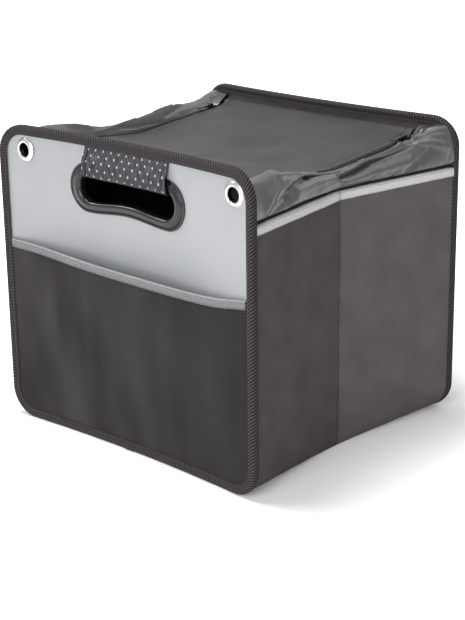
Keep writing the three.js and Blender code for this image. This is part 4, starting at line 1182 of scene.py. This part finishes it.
def lid_place(u, v):
    x = mix(-LID_HALF, LID_HALF, u)
    front = LID_FRONT_GAP - end_face(x)
    y = mix(front, LID_BACK, v)
    held = (1 - (2 * u - 1) ** 6) * (1 - (2 * v - 1) ** 8)
    small = 0.8 * noise.noise(Vector((x / 22 + y / 60, y / 30, 6)))
    soft = 2.2 * noise.noise(Vector((x / 60, y / 45, 2))) + small
    seam = smoothstep(0.8, 1.0, abs(2 * u - 1))
    pull = 0.9 * seam * noise.noise(Vector((y / 9, 3, x)))
    height = mix(lid_height(x, y), HINGE_Z, smoothstep(0.97, 1, v))
    return Vector((x, y, height + held * (soft + pull)))


lid_size = (2 * LID_HALF, LID_BACK + end_face(0) - LID_FRONT_GAP)
lid = cut_cloth("lid_satin", lid_size, (120, 120), lid_place)
thicken(lid, 0.7, (0, 0, 1))
dress(lid, satin, "lid", ["lid"], 60)

STRIP_HALF = LID_HALF + ZIP_MEET + 2 * ZIP_HALF + 9
STRIP_LONG, STRIP_DROOP = 8, 9.2


def strip_place(u, v):
    x = mix(-STRIP_HALF, STRIP_HALF, u)
    near = (HINGE_Y + HINGE_GAP / 2, HINGE_Z - 0.1)
    far = (end_face(x) - 0.8, HEIGHT - TAPE_WIDTH + 2.2)
    level = (mix(near[0], far[0], 0.35), near[1] - 0.1)
    steep = (far[0] - 0.6, mix(near[1], far[1], 0.5))
    y, z = through([near, level, steep, far], v)
    droop = STRIP_DROOP * smoothstep(LID_HALF + 1.2, LID_HALF + 5.5, abs(x)) * (1 - v)
    return Vector((x, y, z - droop))


strip = cut_cloth("lid_back_strip", (2 * STRIP_HALF, STRIP_LONG), (140, 8), strip_place)
thicken(strip, 0.6, (0, 0, 1))
dress(strip, lining_cloth, "box", ["lid_hinge_strip"], 60)
print(lid.name, strip.name)

# %% [markdown]
# Zips. Each half is a woven tape with a row of coil teeth along its edge. One tooth is modelled and
# repeated by an array along each of the two straight runs, before and behind the bend over the fold.

# %% Zip halves
TOOTH_PITCH = 1.6
TEETH_WIDTH, TEETH_HIGH = 1.4, 0.9
ZIP_ENDS = {"collar": 106.5, "lid": 135.5}
ZIP_FRONT = LID_FRONT_GAP - end_face(HALF - ZIP_IN)


def tooth_row(name, x, start, end):
    """Coil teeth from start to end, points in (y, z) mm, at this x."""
    clear_selection()
    bpy.ops.mesh.primitive_cylinder_add(
        vertices=8, radius=TEETH_HIGH / 2 * MM, depth=TEETH_WIDTH * MM, rotation=(0, math.pi / 2, 0),
        location=(x * MM, start[0] * MM, (start[1] + TEETH_HIGH / 2) * MM))
    tooth = apply_place(bpy.context.object)
    tooth.name = tooth.data.name = name
    modify(tooth, "BEVEL", width=0.2 * MM, segments=1)
    long = math.dist(start, end)
    step = [(b - a) / long * TOOTH_PITCH * MM for a, b in zip(start, end)]
    modify(tooth, "ARRAY", count=int(long / TOOTH_PITCH), use_relative_offset=False,
           use_constant_offset=True, constant_offset_displace=(0, *step))
    return tooth


for name, hand in hands.items():
    for part, back in ZIP_ENDS.items():
        way = -1 if part == "collar" else 1
        teeth_in = ZIP_IN + way * ZIP_MEET / 2
        long = back - ZIP_FRONT

        def tape_at(u, v, hand=hand, way=way, teeth_in=teeth_in, back=back):
            y = mix(ZIP_FRONT, back, u)
            return Vector((hand * (HALF - teeth_in - way * ZIP_HALF * v), y, zip_z(y)))

        tape = cut_cloth(f"{name}_zip_{part}_half", (long, ZIP_HALF), (80, 3), tape_at)
        thicken(tape, 0.5, (0, 0, 1))
        x = hand * (HALF - teeth_in - way * TEETH_WIDTH / 2)
        rows = [
            tooth_row(f"{tape.name}_front_teeth", x, (ZIP_FRONT + 1, zip_z(ZIP_FRONT)), (0, zip_z(0))),
            tooth_row(f"{tape.name}_rear_teeth", x, (0, zip_z(0)), (back - 1, zip_z(back))),
        ]
        body = "lid" if part == "lid" else "box"
        dress(tape, zip_tape, body, [f"{name}_zip_{part}_side"], 60)
        for row in rows:
            dress(row, coil, body)
    for metal in ("slider", "pull"):
        repaint(f"{name}_{metal}", gunmetal)
    print(name, "zip")

# %% [markdown]
# Base. A cloth closes the box below, and a loose stiff board wrapped in the lining lies on it.

# %% Base cloth and board
BASE_HALF = HALF - PANEL_CORNER - GAP


def base_place(u, v):
    x = mix(-BASE_HALF, BASE_HALF, u)
    return Vector((x, mix(-1, 1, v) * end_face(x), 0))


base = cut_cloth("base_underside", (2 * BASE_HALF, 2 * end_face(HALF)), (40, 40), base_place)
thicken(base, 1.0, (0, 0, -1))
dress(base, lining_cloth, "box", ["base_cloth"])
repaint("base_board", lining_cloth)
print(base.name)
